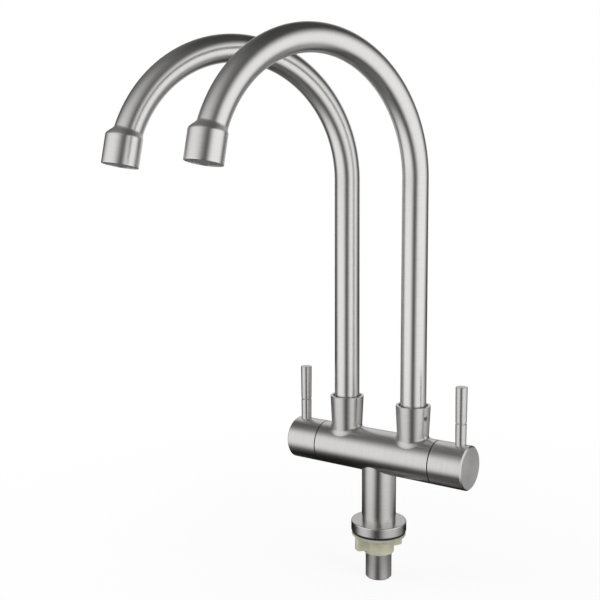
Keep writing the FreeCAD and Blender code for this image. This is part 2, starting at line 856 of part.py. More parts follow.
def make_valve(name, turn):
    """One quarter-turn ceramic valve, from its seat in the barrel to the spindle's end in the handle."""
    spot = {"z": s.axis_height, "yaw": turn}
    make_cartridge(name, spot)
    seal = turned(f"{name}_seat_seal", [
        (s.seat_face, s.seal_bore_radius),
        (s.fixed_disc_start, s.seal_bore_radius),
        (s.fixed_disc_start, s.nose_bore_radius - s.running_fit),
        (s.seat_face, s.nose_bore_radius - s.running_fit),
    ], "H_Axis")
    gasket = turned(f"{name}_valve_gasket", [
        (s.barrel_half, s.valve_thread_radius + s.running_fit),
        (s.hex_start, s.valve_thread_radius + s.running_fit),
        (s.hex_start, s.valve_gasket_radius),
        (s.barrel_half, s.valve_gasket_radius),
    ], "H_Axis")
    for piece in (seal, gasket):
        place(piece, **spot)
    fixed = disc(f"{name}FixedDisc", s.fixed_disc_start, s.fixed_disc_height)
    ports = disc_ports(f"{name}Fixed", s.fixed_disc_start, s.fixed_disc_height, 0)
    fixed = keep(cut(fixed, ports, f"{name}FixedCut"), f"{name}_fixed_disc")
    place(fixed, **spot)
    make_moving_disc(name, spot)
    make_spindle(name, spot)


def make_cartridge(name, spot):
    """The brass cartridge: a bored nose with two windows, a thread, a hexagon and a neck round the spindle."""
    bore = s.spindle_radius + s.running_fit
    thread = s.valve_thread_radius - s.seat_fit
    body = turned(f"{name}_cartridge_body", [
        (s.nose_start, s.nose_bore_radius),
        (s.nose_bore_end, s.nose_bore_radius),
        (s.nose_bore_end, bore),
        (s.neck_end, bore),
        (s.neck_end, s.neck_radius),
        (s.hex_start, s.neck_radius),
        (s.hex_start, thread),
        (s.thread_start, thread),
        (s.thread_start, s.valve_waist_radius),
        (s.nose_end, s.valve_waist_radius),
        (s.nose_end, s.nose_radius),
        (s.nose_start, s.nose_radius),
    ], "H_Axis")
    flats = new_sketch(body, "Hexagon", "YZ_Plane", s.hex_start)
    hexagon(flats, s.hex_flats / math.sqrt(3))
    circle(flats, s.neck_radius - s.loose_gap)
    pad(body, flats, s.hex_height, "Nut")
    window = new_sketch(body, "WindowOutline", "XZ_Plane", -s.nose_radius)
    half = s.window_width / 2
    outline(window, [
        (s.window_start, -half),
        (s.window_end, -half),
        (s.window_end, half),
        (s.window_start, half),
    ])
    pocket(body, window, s.nose_radius * 2, True, "Windows")
    place(body, **spot)


def make_moving_disc(name, spot):
    """The ceramic disc that turns with the spindle, slotted across its back for the spindle's tongue."""
    plain = disc(f"{name}MovingDisc", s.moving_disc_start, s.moving_disc_height)
    ports = disc_ports(f"{name}Moving", s.moving_disc_start, s.moving_disc_height, 90)
    pierced = cut(plain, ports, f"{name}MovingPierced")
    slot = solid(
        "Part::Box",
        f"{name}DiscSlot",
        Length=s.tongue_height,
        Width=s.disc_radius * 2,
        Height=s.tongue_width + s.loose_gap,
    )
    place(
        slot,
        x=s.moving_disc_end - s.tongue_height,
        y=-s.disc_radius,
        z=-(s.tongue_width + s.loose_gap) / 2,
    )
    turning = keep(cut(pierced, slot, f"{name}MovingCut"), f"{name}_moving_disc")
    place(turning, **spot)


def make_spindle(name, spot):
    """The brass spindle with its tongue, head, O-ring, circlip and the flat that the handle's screw bears on."""
    head_end = s.moving_disc_end + s.spindle_head_height
    groove_floor = s.spindle_radius - s.spindle_ring_section * 2
    ring_half = s.spindle_ring_section + s.running_fit
    clip_floor = s.spindle_radius - s.circlip_depth
    slack = s.running_fit
    body = turned(f"{name}_spindle", [
        (s.moving_disc_end, 0),
        (s.moving_disc_end, s.spindle_head_radius),
        (head_end, s.spindle_head_radius),
        (head_end, s.spindle_radius),
        (s.spindle_ring_place - ring_half, s.spindle_radius),
        (s.spindle_ring_place - ring_half, groove_floor),
        (s.spindle_ring_place + ring_half, groove_floor),
        (s.spindle_ring_place + ring_half, s.spindle_radius),
        (s.circlip_place - slack, s.spindle_radius),
        (s.circlip_place - slack, clip_floor),
        (s.circlip_end + slack, clip_floor),
        (s.circlip_end + slack, s.spindle_radius),
        (s.spindle_end - s.circlip_depth, s.spindle_radius),
        (s.spindle_end, s.spindle_radius - s.circlip_depth),
        (s.spindle_end, 0),
    ], "H_Axis")
    tongue = new_sketch(body, "TongueOutline", "YZ_Plane", s.moving_disc_end - s.tongue_height)
    half_length, half_width = s.tongue_length / 2, s.tongue_width / 2
    outline(tongue, [
        (-half_length, -half_width),
        (half_length, -half_width),
        (half_length, half_width),
        (-half_length, half_width),
    ])
    pad(body, tongue, s.tongue_height, "Tongue")
    flat = new_sketch(body, "FlatOutline", "YZ_Plane", s.handle_cavity_end)
    level = s.spindle_flat - s.spindle_radius
    outline(flat, [
        (-s.spindle_radius, -s.spindle_radius * 2),
        (s.spindle_radius, -s.spindle_radius * 2),
        (s.spindle_radius, level),
        (-s.spindle_radius, level),
    ])
    pocket(body, flat, s.spindle_end - s.handle_cavity_end, True, "Flat")
    place(body, **spot)
    rubber = keep(
        solid(
            "Part::Torus",
            f"{name}SpindleRing",
            Radius1=s.spindle_radius - s.spindle_ring_section,
            Radius2=s.spindle_ring_section,
        ),
        f"{name}_spindle_o_ring",
    )
    place_along_x(rubber, s.spindle_ring_place * facing(spot["yaw"]), spot["z"])
    make_circlip(name, clip_floor, spot)


def make_circlip(name, floor, spot):
    """The spring clip that keeps the spindle in the cartridge, open on one side."""
    inner = floor + s.seat_fit
    body = new_body(f"{name}_circlip")
    sketch = new_sketch(body, "ClipOutline", "YZ_Plane", s.circlip_place)
    circle(sketch, inner)
    circle(sketch, s.circlip_radius)
    pad(body, sketch, s.circlip_height, "Clip")
    gap = new_sketch(body, "GapOutline", "YZ_Plane", s.circlip_place)
    half = s.circlip_gap / 2
    outline(gap, [(-half, 0), (half, 0), (half, s.circlip_radius * 2), (-half, s.circlip_radius * 2)])
    pocket(body, gap, s.circlip_height, True, "Gap")
    place(body, **spot)


def make_handle(name, turn):
    """One handle: the hub that closes the barrel's end, its lever and the screw that holds it on the spindle."""
    spot = {"z": s.axis_height, "yaw": turn}
    edge = s.handle_chamfer
    bore = s.spindle_radius + s.seat_fit
    hub = turned(f"{name}_handle_hub", [
        (s.handle_start, s.handle_cavity_radius),
        (s.handle_cavity_end, s.handle_cavity_radius),
        (s.handle_cavity_end, bore),
        (s.spindle_end + s.loose_gap, bore),
        (s.spindle_end + s.loose_gap, 0),
        (s.handle_end, 0),
        (s.handle_end, s.barrel_radius - edge),
        (s.handle_end - edge, s.barrel_radius),
        (s.handle_start, s.barrel_radius),
    ], "H_Axis")
    seat_radius = s.lever_foot_radius + s.seat_fit * 2
    stud_start = s.lever_seat - s.lever_stud_length
    drill(hub, "LeverSeat", seat_radius, s.lever_seat, s.barrel_radius, True, s.lever_place)
    drill(hub, "LeverTapping", s.lever_stud_radius, stud_start, s.lever_stud_length, True, s.lever_place)
    screw_bore = s.handle_screw_radius + s.seat_fit
    drill(hub, "ScrewTapping", screw_bore, 0, s.barrel_radius, False, s.handle_screw_place)
    place(hub, **spot)
    make_lever(name, turn, stud_start)
    screw = grub_screw(
        f"{name}_handle_screw",
        s.handle_screw_radius,
        s.handle_screw_length,
        s.handle_screw_key,
        s.handle_screw_key_depth,
    )
    x = s.handle_screw_place * facing(turn)
    tip = s.axis_height - s.spindle_radius + s.spindle_flat - s.seat_fit
    place(screw, x=x, z=tip, tilt=180)


def make_lever(name, turn, stud_start):
    """The lever: a stem screwed into the hub, and a wider grip screwed onto the stem, with a fine groove between."""
    x = s.lever_place * facing(turn)
    thread = s.lever_stud_radius - s.seat_fit
    joint_low = s.lever_joint - s.lever_groove
    upper_end = s.lever_joint + s.lever_stud_length
    stem = turned(f"{name}_lever_stem", [
        (0, stud_start + s.loose_gap),
        (thread, stud_start + s.loose_gap),
        (thread, s.lever_seat),
        (s.lever_foot_radius, s.lever_seat),
        (s.lever_joint_radius, joint_low),
        (s.lever_joint_radius - s.lever_edge, joint_low),
        (s.lever_joint_radius - s.lever_edge, s.lever_joint),
        (thread, s.lever_joint),
        (thread, upper_end),
        (0, upper_end),
    ])
    top_edge = s.lever_top_radius - s.lever_edge
    grip = turned(f"{name}_lever_grip", [
        (s.lever_stud_radius, s.lever_joint),
        (s.lever_joint_radius, s.lever_joint),
        (s.lever_top_radius, s.lever_top - s.lever_edge),
        (top_edge, s.lever_top),
        (0, s.lever_top),
        (0, upper_end + s.loose_gap),
        (s.lever_stud_radius, upper_end + s.loose_gap),
    ])
    for piece in (stem, grip):
        place(piece, x=x, z=s.axis_height)


def check_pieces():
    """Stops if an object failed, or a piece is empty or not valid."""
    for item in doc.Objects:
        if {"Invalid", "Error"} & set(item.State):
            raise ValueError(f"{item.Label} failed: {item.State}")
    for piece in pieces:
        if piece.Shape.isNull() or not piece.Shape.isValid():
            raise ValueError(f"{piece.Label} has no valid shape")


def write_pieces():
    """Writes each piece to its own file, under its label."""
    os.makedirs("parts", exist_ok=True)
    for piece in pieces:
        piece.Shape.exportStep(f"parts/{piece.Label}.step")
        box = piece.Shape.BoundBox
        print(f"{piece.Label:24} {len(piece.Shape.Solids)} solid(s) {piece.Shape.Volume:10.1f} mm3"
              f"  z {box.ZMin:7.2f} to {box.ZMax:7.2f}")


fill_sheet()
make_barrel()
make_stem()
make_flange()
make_shank()
make_clamp()
make_socket("left", -1, s.left_screw_turn)
make_socket("right", 1, s.right_screw_turn)
make_spout("left", -1, s.left_swing)
make_spout("right", 1, s.right_swing)
for side_name, _, side_turn in SIDES:
    make_valve(side_name, side_turn)
    make_handle(side_name, side_turn)
doc.recompute()
check_pieces()
write_pieces()
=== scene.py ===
"""A two-spout sink tap: surfaces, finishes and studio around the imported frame, in metres.

The frame's origin is the middle of the deck gasket's underside, with +Z up and the spouts reaching
towards -Y.
"""
import math

import bmesh
import bpy
import numpy as np
from bpy.props import FloatProperty, FloatVectorProperty, IntProperty, PointerProperty, StringProperty
from bpy.types import Operator, Panel, PropertyGroup
from mathutils import Matrix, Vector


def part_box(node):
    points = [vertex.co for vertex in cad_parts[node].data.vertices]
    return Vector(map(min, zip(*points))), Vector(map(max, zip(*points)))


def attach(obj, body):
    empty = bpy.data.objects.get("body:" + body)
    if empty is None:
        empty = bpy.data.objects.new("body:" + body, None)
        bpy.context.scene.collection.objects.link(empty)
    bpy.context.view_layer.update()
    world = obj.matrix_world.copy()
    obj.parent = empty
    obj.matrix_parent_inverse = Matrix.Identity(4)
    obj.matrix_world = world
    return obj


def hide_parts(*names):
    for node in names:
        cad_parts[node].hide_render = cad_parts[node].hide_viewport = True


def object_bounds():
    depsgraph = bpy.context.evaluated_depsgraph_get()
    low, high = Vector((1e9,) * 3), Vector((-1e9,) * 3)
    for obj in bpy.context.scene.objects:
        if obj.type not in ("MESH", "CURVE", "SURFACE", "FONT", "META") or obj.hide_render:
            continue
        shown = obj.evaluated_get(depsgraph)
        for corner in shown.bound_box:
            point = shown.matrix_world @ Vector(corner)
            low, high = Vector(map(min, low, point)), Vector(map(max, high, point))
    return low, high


bl_info = {
    "name": "Two-spout sink tap",
    "version": (1, 0, 0),
    "blender": (4, 5, 0),
    "location": "3D View > Sidebar > Sink Tap",
    "description": "Makes the tubes, seals and nut of a sink tap, its finishes and a studio around it",
    "category": "Object",
}

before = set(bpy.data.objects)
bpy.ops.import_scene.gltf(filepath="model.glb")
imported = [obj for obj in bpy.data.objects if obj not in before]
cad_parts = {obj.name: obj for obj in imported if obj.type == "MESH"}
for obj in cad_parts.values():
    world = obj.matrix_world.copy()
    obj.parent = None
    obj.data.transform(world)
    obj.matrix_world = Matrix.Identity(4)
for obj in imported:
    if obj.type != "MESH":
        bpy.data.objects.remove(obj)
CAD_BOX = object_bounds()
MM = 0.001
SIDES = {"left": -1, "right": 1}
PREFIX = "sink_tap"


# Sizes and colours

def metres(name, description, default):
    """A length that a user can change."""
    return FloatProperty(name=name, description=description, default=default, unit="LENGTH")


def degrees(name, description, default):
    """An angle that a user can change, with its default given in degrees."""
    return FloatProperty(
        name=name, description=description, default=math.radians(default), subtype="ANGLE"
    )


def hex_value(name, description, default):
    """A colour that a user can change, as an sRGB hex value."""
    return StringProperty(name=name, description=description, default=default)


class TubeSettings(PropertyGroup):
    """The bent tubes of the two goosenecks."""

    radius: metres("Radius", "Outside radius of the tube", 0.010)
    wall: metres("Wall", "Thickness of the tube's wall", 0.001)
    riser_offset: metres("Riser offset", "How far each riser stands from the middle", 0.0304)
    arc_radius: metres("Arc radius", "Bend radius along the tube's middle", 0.0941)
    arc_height: metres("Arc height", "Height of the bend's centre above the deck", 0.2811)
    arc_sweep: degrees("Arc sweep", "How far round the tube bends", 159.3)
    left_swing: degrees("Left swing", "Turn of the left gooseneck from straight ahead", -21.1)
    right_swing: degrees("Right swing", "Turn of the right gooseneck from straight ahead", -14.6)
    rows: IntProperty(name="Rows", description="Rows of faces along the outside", default=300, min=20)
    facets: IntProperty(name="Facets", description="Faces round the tube", default=96, min=12)


class OutletSettings(PropertyGroup):
    """The outlet that swells out of the end of each gooseneck."""

    swell: metres("Swell", "How much wider the outlet is than the tube, in radius", 0.0027)
    wall: metres("Wall", "Thickness of the outlet's wall", 0.0012)
    out: metres("Out", "How far out the straight part starts from the tube's end", 0.00343)
    drop: metres("Drop", "How far below the tube's end the straight part starts", 0.00467)
    tilt: degrees("Tilt", "Lean of the straight part from upright", 11)
    length: metres("Length", "Length of the straight part", 0.0193)
    rim: metres("Rim", "Rounding of the mouth's rim", 0.0004)


class WeldSettings(PropertyGroup):
    """The ground weld that blends each spout socket into the barrel."""

    barrel: metres("Barrel", "Outside radius of the barrel", 0.017)
    foot: metres("Foot", "Radius of the socket where it meets the barrel", 0.0121)
    width: metres("Width", "Width of the blend on the barrel", 0.0034)
    height: metres("Height", "Height of the blend on the socket", 0.0030)


class LeverSettings(PropertyGroup):
    """The upright lever of each handle: a stem, and a wider grip screwed onto it."""

    foot: metres("Foot", "Radius of the stem at the handle", 0.0041)
    joint: metres("Joint", "Radius where stem and grip meet", 0.00425)
    top: metres("Top", "Radius of the grip's top", 0.0045)
    groove: metres("Groove", "Width of the groove at the joint", 0.0008)
    neck: metres("Neck", "Radius of the neck inside the groove", 0.0035)
    seat: metres("Seat", "Height of the stem's foot above the barrel's axis", 0.0154)
    step: metres("Step", "Spacing of the rows of faces", 0.00015)
    softness: IntProperty(
        name="Softness", description="How many times the edges are averaged", default=5, min=0
    )


class ClampSettings(PropertyGroup):
    """The gasket, washer and winged nut that clamp the tap to its deck."""

    shank: metres("Shank", "Radius of the shank that they go round", 0.01048)
    hub: metres("Hub", "Outside radius of the nut's hub", 0.0123)
    reach: metres("Reach", "Radius to the wings' ends", 0.0204)
    wing_width: metres("Wing width", "Thickness of a wing", 0.0065)
    wing_height: metres("Wing height", "Height of a wing", 0.0113)
    nut_turn: degrees("Nut turn", "Turn of the wings from +X", 58)
    softness: IntProperty(
        name="Softness", description="How many times the nut's corners are averaged", default=6, min=0
    )


class FinishSettings(PropertyGroup):
    """The colours of the tap's finishes, as sRGB hex values."""

    body_steel: hex_value(
        "Body steel", "Brushed stainless steel of barrel, stem, sockets and levers", "#DEDCDA"
    )
    tube_steel: hex_value("Tube steel", "Satin stainless steel of the goosenecks", "#ECEBE9")
    shank_steel: hex_value("Shank steel", "Rolled steel of the shank", "#E4E2E0")
    small_steel: hex_value("Small steel", "Machined steel of screws, clips and screens", "#A9A8A6")
    brass: hex_value("Brass", "Machined brass", "#C9A85C")
    alumina: hex_value("Alumina", "Sintered discs of the valves", "#E8E6E0")
    acetal: hex_value("Acetal", "Moulded bushes and aerators", "#77777A")
    rubber: hex_value("Rubber", "Moulded black rubber", "#1C1C1D")
    fibre: hex_value("Fibre", "Pressed grey fibre of the clamp washer", "#ACAC9D")
    nylon: hex_value("Nylon", "Natural nylon of the winged nut", "#C6C4AE")


class StudioSettings(PropertyGroup):
    """The camera, the light and the dark tent that the steel mirrors."""

    eye: FloatVectorProperty(
        name="Camera place", description="Where the camera stands",
        default=(0.3536, -0.5964, 0.2742), unit="LENGTH",
    )
    yaw: degrees("Yaw", "Turn of the camera from +Y towards -X", 35.837)
    pitch: degrees("Pitch", "Tilt of the camera above level", -7.088)
    roll: degrees("Roll", "Lean of the camera", -0.357)
    lens: FloatProperty(
        name="Lens", description="Focal length on a 36 mm sensor, in millimetres", default=53.31
    )
    tent_radius: metres("Tent radius", "Radius of the dark tent that only mirrored rays meet", 0.65)
    tent_centre: FloatVectorProperty(
        name="Tent centre", description="Middle of the dark tent",
        default=(0.0, -0.1, 0.2), unit="LENGTH",
    )
    dark: hex_value("Tent cloth", "Colour of the dark tent", "#3F3F3F")
    # The tent's floor colour is a painted shade, darker than its cloth
    shadow: hex_value("Tent floor", "Colour of the tent near its floor", "#262626")
    # Colour of the black cards, whose painted dark reflections stand in for shade
    painted_shade: hex_value("Painted_shade", "Colour of the black cards", "#161616")
    paper: hex_value("Paper", "Colour of the floor", "#F4F4F4")
    floor_radius: metres("Floor radius", "Radius of the round white floor", 6.0)


# Surfaces

SHARP_ANGLE = math.radians(35)
MERGE_DISTANCE = 0.001 * MM

# How many rows of points each part of a section has, and how many points go round a piece
SWELL_ROWS = 28
STRAIGHT_ROWS = 22
RIM_ROWS = 7
WELD_ROWS = 14
RING_ROWS = 48
NUT_SIDE_ROWS = 16
ROUND_FACETS = 96
RING_FACETS = 128
NUT_FACETS = 360

# How far the weld's back is set into the metal, how far the rings and the nut stand off the shank, and the
# power that squares a ring's section
WELD_INSET = 0.3 * MM
RING_CLEARANCE = 0.3 * MM
NUT_CLEARANCE = 0.06 * MM
RING_CORNER = 0.3


def surface(name, points, wrap_u=False, wrap_v=False, uv=None, merge=False):
    """A mesh object from a grid of points, one quad per cell, closed round along u or v if asked.

    points has shape (rows, columns, 3). Rows run along u and columns along v. A face's corners go round so
    that its front is on the side of (v direction) x (u direction). uv holds the places of the rows and of
    the columns on the surface, in metres, with one more of each where the grid is closed. With merge, points
    that lie on each other become one, as at a pole.
    """
    rows, columns = points.shape[:2]
    u = np.arange(rows if wrap_u else rows - 1)
    v = np.arange(columns if wrap_v else columns - 1)
    u, v = (g.ravel() for g in np.meshgrid(u, v, indexing="ij"))
    u_next, v_next = (u + 1) % rows, (v + 1) % columns
    corners = np.stack([
        u * columns + v, u * columns + v_next, u_next * columns + v_next, u_next * columns + v
    ], axis=1)
    mesh = bpy.data.meshes.new(name)
    mesh.vertices.add(rows * columns)
    mesh.vertices.foreach_set("co", points.reshape(-1).astype(np.float32))
    mesh.loops.add(corners.size)
    mesh.loops.foreach_set("vertex_index", corners.reshape(-1).astype(np.int32))
    mesh.polygons.add(len(corners))
    mesh.polygons.foreach_set("loop_start", np.arange(0, corners.size, 4, dtype=np.int32))
    mesh.polygons.foreach_set("use_smooth", np.ones(len(corners), bool))
    if uv is not None:
        row_places, column_places = uv
        across = row_places[np.stack([u, u, u + 1, u + 1], axis=1)]
        along = column_places[np.stack([v, v + 1, v + 1, v], axis=1)]
        places = np.stack([across, along], axis=-1)
        layer = mesh.uv_layers.new(name="Grain")
        layer.uv.foreach_set("vector", places.reshape(-1).astype(np.float32))
    mesh.update(calc_edges=True)
    if merge:
        merged = bmesh.new()
        merged.from_mesh(mesh)
        bmesh.ops.remove_doubles(merged, verts=merged.verts, dist=MERGE_DISTANCE)
        merged.to_mesh(mesh)
        merged.free()
    mesh.set_sharp_from_angle(angle=SHARP_ANGLE)
    made = bpy.data.objects.new(name, mesh)
    bpy.context.scene.collection.objects.link(made)
    return made


def swept(ahead, up, turn, radius, side, swing, settings):
    """Circles carried along a path in a gooseneck's own plane: a closed wall, and its places for the grain.

    The path's middle is (ahead, up), and it travels towards (sine, cosine) of turn. A point is the middle,
    plus the radius times (cosine of v away from the bend's centre, minus sine of v sideways). The plane
    stands on the riser's axis and is swung about it.
    """
    around = np.linspace(0, 2 * np.pi, settings.facets + 1)
    away = radius[:, None] * np.cos(around[:-1])
    out = ahead[:, None] - away * np.cos(turn)[:, None]
    z = up[:, None] + away * np.sin(turn)[:, None]
    beside = -radius[:, None] * np.sin(around[:-1])
    x = side * settings.riser_offset + np.sin(swing) * out + np.cos(swing) * beside
    y = -np.cos(swing) * out + np.sin(swing) * beside
    ahead_step, up_step, radius_step = (np.diff(run, append=run[0]) for run in (ahead, up, radius))
    steps = np.hypot(np.hypot(ahead_step, up_step), radius_step)
    rows = np.concatenate([[0], np.cumsum(steps)])
    return np.stack([x, y, z], axis=-1), (rows, around * settings.radius)


def gooseneck(settings, side, swing, bottom):
    """A bent tube's closed wall: the outside from bottom to end, then the inside back down in half the rows.

    The path rises from the bottom to the bend's centre height, then turns about that centre by the sweep.
    """
    riser = settings.arc_height - bottom
    length = riser + settings.arc_radius * settings.arc_sweep
    outside = np.linspace(0, length, settings.rows)
    inside = np.linspace(length, 0, settings.rows // 2)
    along = np.concatenate([outside, inside])
    radius = np.concatenate([
        np.full(outside.size, settings.radius),
        np.full(inside.size, settings.radius - settings.wall),
    ])
    turn = np.clip(along - riser, 0, None) / settings.arc_radius
    ahead = settings.arc_radius * (1 - np.cos(turn))
    up = bottom + np.minimum(along, riser) + settings.arc_radius * np.sin(turn)
    return swept(ahead, up, turn, radius, side, swing, settings)


def outlet_wall(tube, outlet, side, swing):
    """An outlet's closed wall: the swell, the straight part and its rounded rim, then the inside back up.

    Along the swell, with t the way gone, the radius grows by 3 t squared less 2 t cubed and the turn evenly.
    The middle's way out is a cubic in t that leaves along the tube and arrives along the straight part, as a
    ground weld does. The rim is a quarter circle in radius.
    """
    t = np.linspace(0, 1, SWELL_ROWS)
    smooth = t * t * (3 - 2 * t)
    leave = -math.tan(tube.arc_sweep) * outlet.drop / outlet.out
    arrive = math.tan(outlet.tilt) * outlet.drop / outlet.out
    way_out = smooth + leave * t * (1 - t) ** 2 - arrive * t * t * (1 - t)
    start_ahead = tube.arc_radius * (1 - math.cos(tube.arc_sweep))
    start_up = tube.arc_height + tube.arc_radius * math.sin(tube.arc_sweep)
    down = np.linspace(0, outlet.length - outlet.rim, STRAIGHT_ROWS)[1:]
    bend = np.linspace(0, np.pi / 2, RIM_ROWS)[1:]
    lower = np.concatenate([down, outlet.length - outlet.rim * (1 - np.sin(bend))])
    ahead = np.concatenate([
        start_ahead + outlet.out * way_out, start_ahead + outlet.out + lower * math.sin(outlet.tilt)
    ])
    up = np.concatenate([
        start_up - outlet.drop * t, start_up - outlet.drop - lower * math.cos(outlet.tilt)
    ])
    end_turn = math.pi - outlet.tilt
    turn = np.concatenate([
        tube.arc_sweep + (end_turn - tube.arc_sweep) * t, np.full(lower.size, end_turn)
    ])
    wide = tube.radius + outlet.swell
    radius = np.concatenate([
        tube.radius + outlet.swell * smooth, np.full(down.size, wide), wide - outlet.rim * (1 - np.cos(bend))
    ])
    inner = np.concatenate([radius[:t.size], np.full(lower.size, wide)]) - outlet.wall
    ahead, up, turn = (np.concatenate([run, run[::-1]]) for run in (ahead, up, turn))
    return swept(ahead, up, turn, np.concatenate([radius, inner[::-1]]), side, swing, tube)


def weld_blend(weld, side_place, axis_height):
    """A weld ground to a hollow blend between a socket and the barrel, as a closed ring.

    At each angle round the socket the section is a quadratic Bezier curve, from the socket's wall down to the
    barrel's, whose control point is the corner where the two meet. The same corner, set a little into the
    metal, closes the section.
    """
    v = np.linspace(0, 2 * np.pi, ROUND_FACETS, endpoint=False)
    t = np.linspace(0, 1, WELD_ROWS)[:, None]
    corner, end = weld.foot, weld.foot + weld.width

    def on_barrel(radius):
        return axis_height + np.sqrt(weld.barrel ** 2 - (radius * np.sin(v)) ** 2)

    start_share, corner_share, end_share = (1 - t) ** 2, 2 * t * (1 - t), t ** 2
    radius = (start_share + corner_share) * corner + end_share * end
    start_z, corner_z, end_z = on_barrel(corner) + weld.height, on_barrel(corner), on_barrel(end)
    z = start_share * start_z + corner_share * corner_z + end_share * end_z
    radius = np.concatenate([radius, [[corner - WELD_INSET]]])
    z = np.concatenate([z, [corner_z - WELD_INSET]])[::-1]
    radius = (radius * np.ones_like(v))[::-1]
    return np.stack([side_place + radius * np.cos(v), radius * np.sin(v), z], axis=-1)


def turned(corners, place, step, softness):
    """An outline of (radius, height) corners, from axis to axis and upwards, carried round an upright axis.

    The outline is walked in equal steps, and each point is averaged with its neighbours a few times, which
    rounds the corners. A point is the axis's place plus the radius times (cosine, sine) of v.
    """
    corners = np.array(corners)
    lengths = np.concatenate([[0], np.cumsum(np.hypot(*np.diff(corners, axis=0).T))])
    along = np.linspace(0, lengths[-1], round(lengths[-1] / step))
    outline = np.stack([np.interp(along, lengths, corners[:, k]) for k in (0, 1)], axis=-1)
    for _ in range(softness):
        outline[1:-1] = (outline[:-2] + 2 * outline[1:-1] + outline[2:]) / 4
    radius, height = outline.T[:, :, None]
    v = np.linspace(0, 2 * np.pi, ROUND_FACETS, endpoint=False)
    return np.stack([
        place[0] + radius * np.cos(v), place[1] + radius * np.sin(v), height + 0 * v
    ], axis=-1)


def soft_ring(inner, outer, low, high):
    """A flat ring round Z with soft corners.

    Its section is a superellipse: the middle plus the half sizes times the cosine and sine of u, each raised
    to the corner power with its sign kept.
    """
    u = np.linspace(0, 2 * np.pi, RING_ROWS, endpoint=False)
    v = np.linspace(0, 2 * np.pi, RING_FACETS, endpoint=False)
    across, rise = (np.sign(wave) * np.abs(wave) ** RING_CORNER for wave in (np.cos(u), np.sin(u)))
    radius = (inner + outer) / 2 + (outer - inner) / 2 * across
    z = (low + high) / 2 + (high - low) / 2 * rise
    return np.stack([
        radius[:, None] * np.cos(v), radius[:, None] * np.sin(v), np.repeat(z[:, None], v.size, axis=1)
    ], axis=-1)


def winged_nut(clamp, low, high):
    """A moulded nut: a hub with two flat wings, all its corners softened.

    Round Z the outline's radius is the larger of the hub's and the wing's, whose flat sides give half its
    width over the sine of the angle from its middle. At each angle the section goes along the top, down the
    wall, back under the wing, down the hub and up the bore. Then each point is averaged with its neighbours
    along both parameters, a few times.
    """
    v = np.linspace(0, -2 * np.pi, NUT_FACETS, endpoint=False)
    half_width = clamp.wing_width / 2
    side = half_width / np.maximum(np.abs(np.sin(v)), half_width / clamp.reach)
    outline = np.maximum(clamp.hub, np.minimum(side, clamp.reach))
    bore = clamp.shank + NUT_CLEARANCE
    hub = np.full_like(v, clamp.hub)
    inner = np.full_like(v, bore)
    wing_low = high - clamp.wing_height
    corners = (
        (inner, high), (outline, high), (outline, wing_low), (hub, wing_low), (hub, low), (inner, low),
        (inner, high),
    )
    radius, z = [], []
    for (start, top), (end, bottom) in zip(corners, corners[1:]):
        share = np.linspace(0, 1, NUT_SIDE_ROWS, endpoint=False)[:, None]
        radius.append(start + (end - start) * share)
        z.append(top + (bottom - top) * share * np.ones_like(v))
    radius, z = np.concatenate(radius), np.concatenate(z)
    turn = v + clamp.nut_turn
    points = np.stack([radius * np.cos(turn), radius * np.sin(turn), z], axis=-1)
    for _ in range(clamp.softness):
        for axis in (0, 1):
            points = (np.roll(points, 1, axis) + 2 * points + np.roll(points, -1, axis)) / 4
    distance = np.hypot(points[..., 0], points[..., 1])
    points[..., :2] *= (np.maximum(distance, bore) / distance)[..., None]
    return points


# Finishes

# The brushing lines' widths, length and depth. Real ones are about 0.05 mm wide, and these are drawn wider,
# so that they show at all
BRUSHED_LINE = 0.7 * MM
BUFFED_LINE = 0.5 * MM
LINE_LENGTH = 12 * MM
LINE_DEPTH = 0.05 * MM

# Sizes of the patches over which gloss or shade wanders
BODY_PATCH = 12 * MM
TUBE_PATCH = 20 * MM
MOULDED_PATCH = 9 * MM

# The spans of a noise texture's values that patches and brushing lines use
PATCH_SPAN = (0.3, 0.7)
GRAIN_SPAN = (0.25, 0.75)


def linear(hex_colour):
    """An sRGB hex colour as linear RGBA.

    A value is v / 12.92 up to 0.04045, and ((v + 0.055) / 1.055) ** 2.4 above it.
    """
    values = [int(hex_colour[i:i + 2], 16) / 255 for i in (1, 3, 5)]
    return [v / 12.92 if v <= 0.04045 else ((v + 0.055) / 1.055) ** 2.4 for v in values] + [1.0]


def add(tree, kind, inputs=None, **settings):
    """Adds a node, sets its properties, and gives each named input a value or a link from another node."""
    made = tree.nodes.new("ShaderNode" + kind)
    for name, value in settings.items():
        setattr(made, name, value)
    for name, value in (inputs or {}).items():
        socket = made.inputs[name]
        if isinstance(value, bpy.types.NodeSocket):
            tree.links.new(value, socket)
        else:
            socket.default_value = value
    return made


def new_material(name):
    """An empty node material and its tree."""
    material = bpy.data.materials.new(name)
    material.use_nodes = True
    material.node_tree.nodes.clear()
    return material, material.node_tree


def finish_material(tree, shader):
    """Sends a shader to the material's surface."""
    add(tree, "OutputMaterial", {"Surface": shader})


def between(tree, value, span, low, high):
    """A value carried from a span to low..high, and held at both ends."""
    carried = add(tree, "MapRange", {0: value, 1: span[0], 2: span[1], 3: low, 4: high})
    return carried.outputs["Result"]


def tinted(tree, value, span, dark, light):
    """A colour that goes from one hex colour to another while a value goes over a span."""
    share = between(tree, value, span, 0.0, 1.0)
    blend = add(tree, "Mix", {0: share, 6: linear(dark), 7: linear(light)}, data_type="RGBA")
    return blend.outputs[2]


def shade(hex_colour, factor):
    """A hex colour made darker or lighter by a factor."""
    values = [min(255, round(int(hex_colour[i:i + 2], 16) * factor)) for i in (1, 3, 5)]
    return "#" + "".join(f"{v:02X}" for v in values)


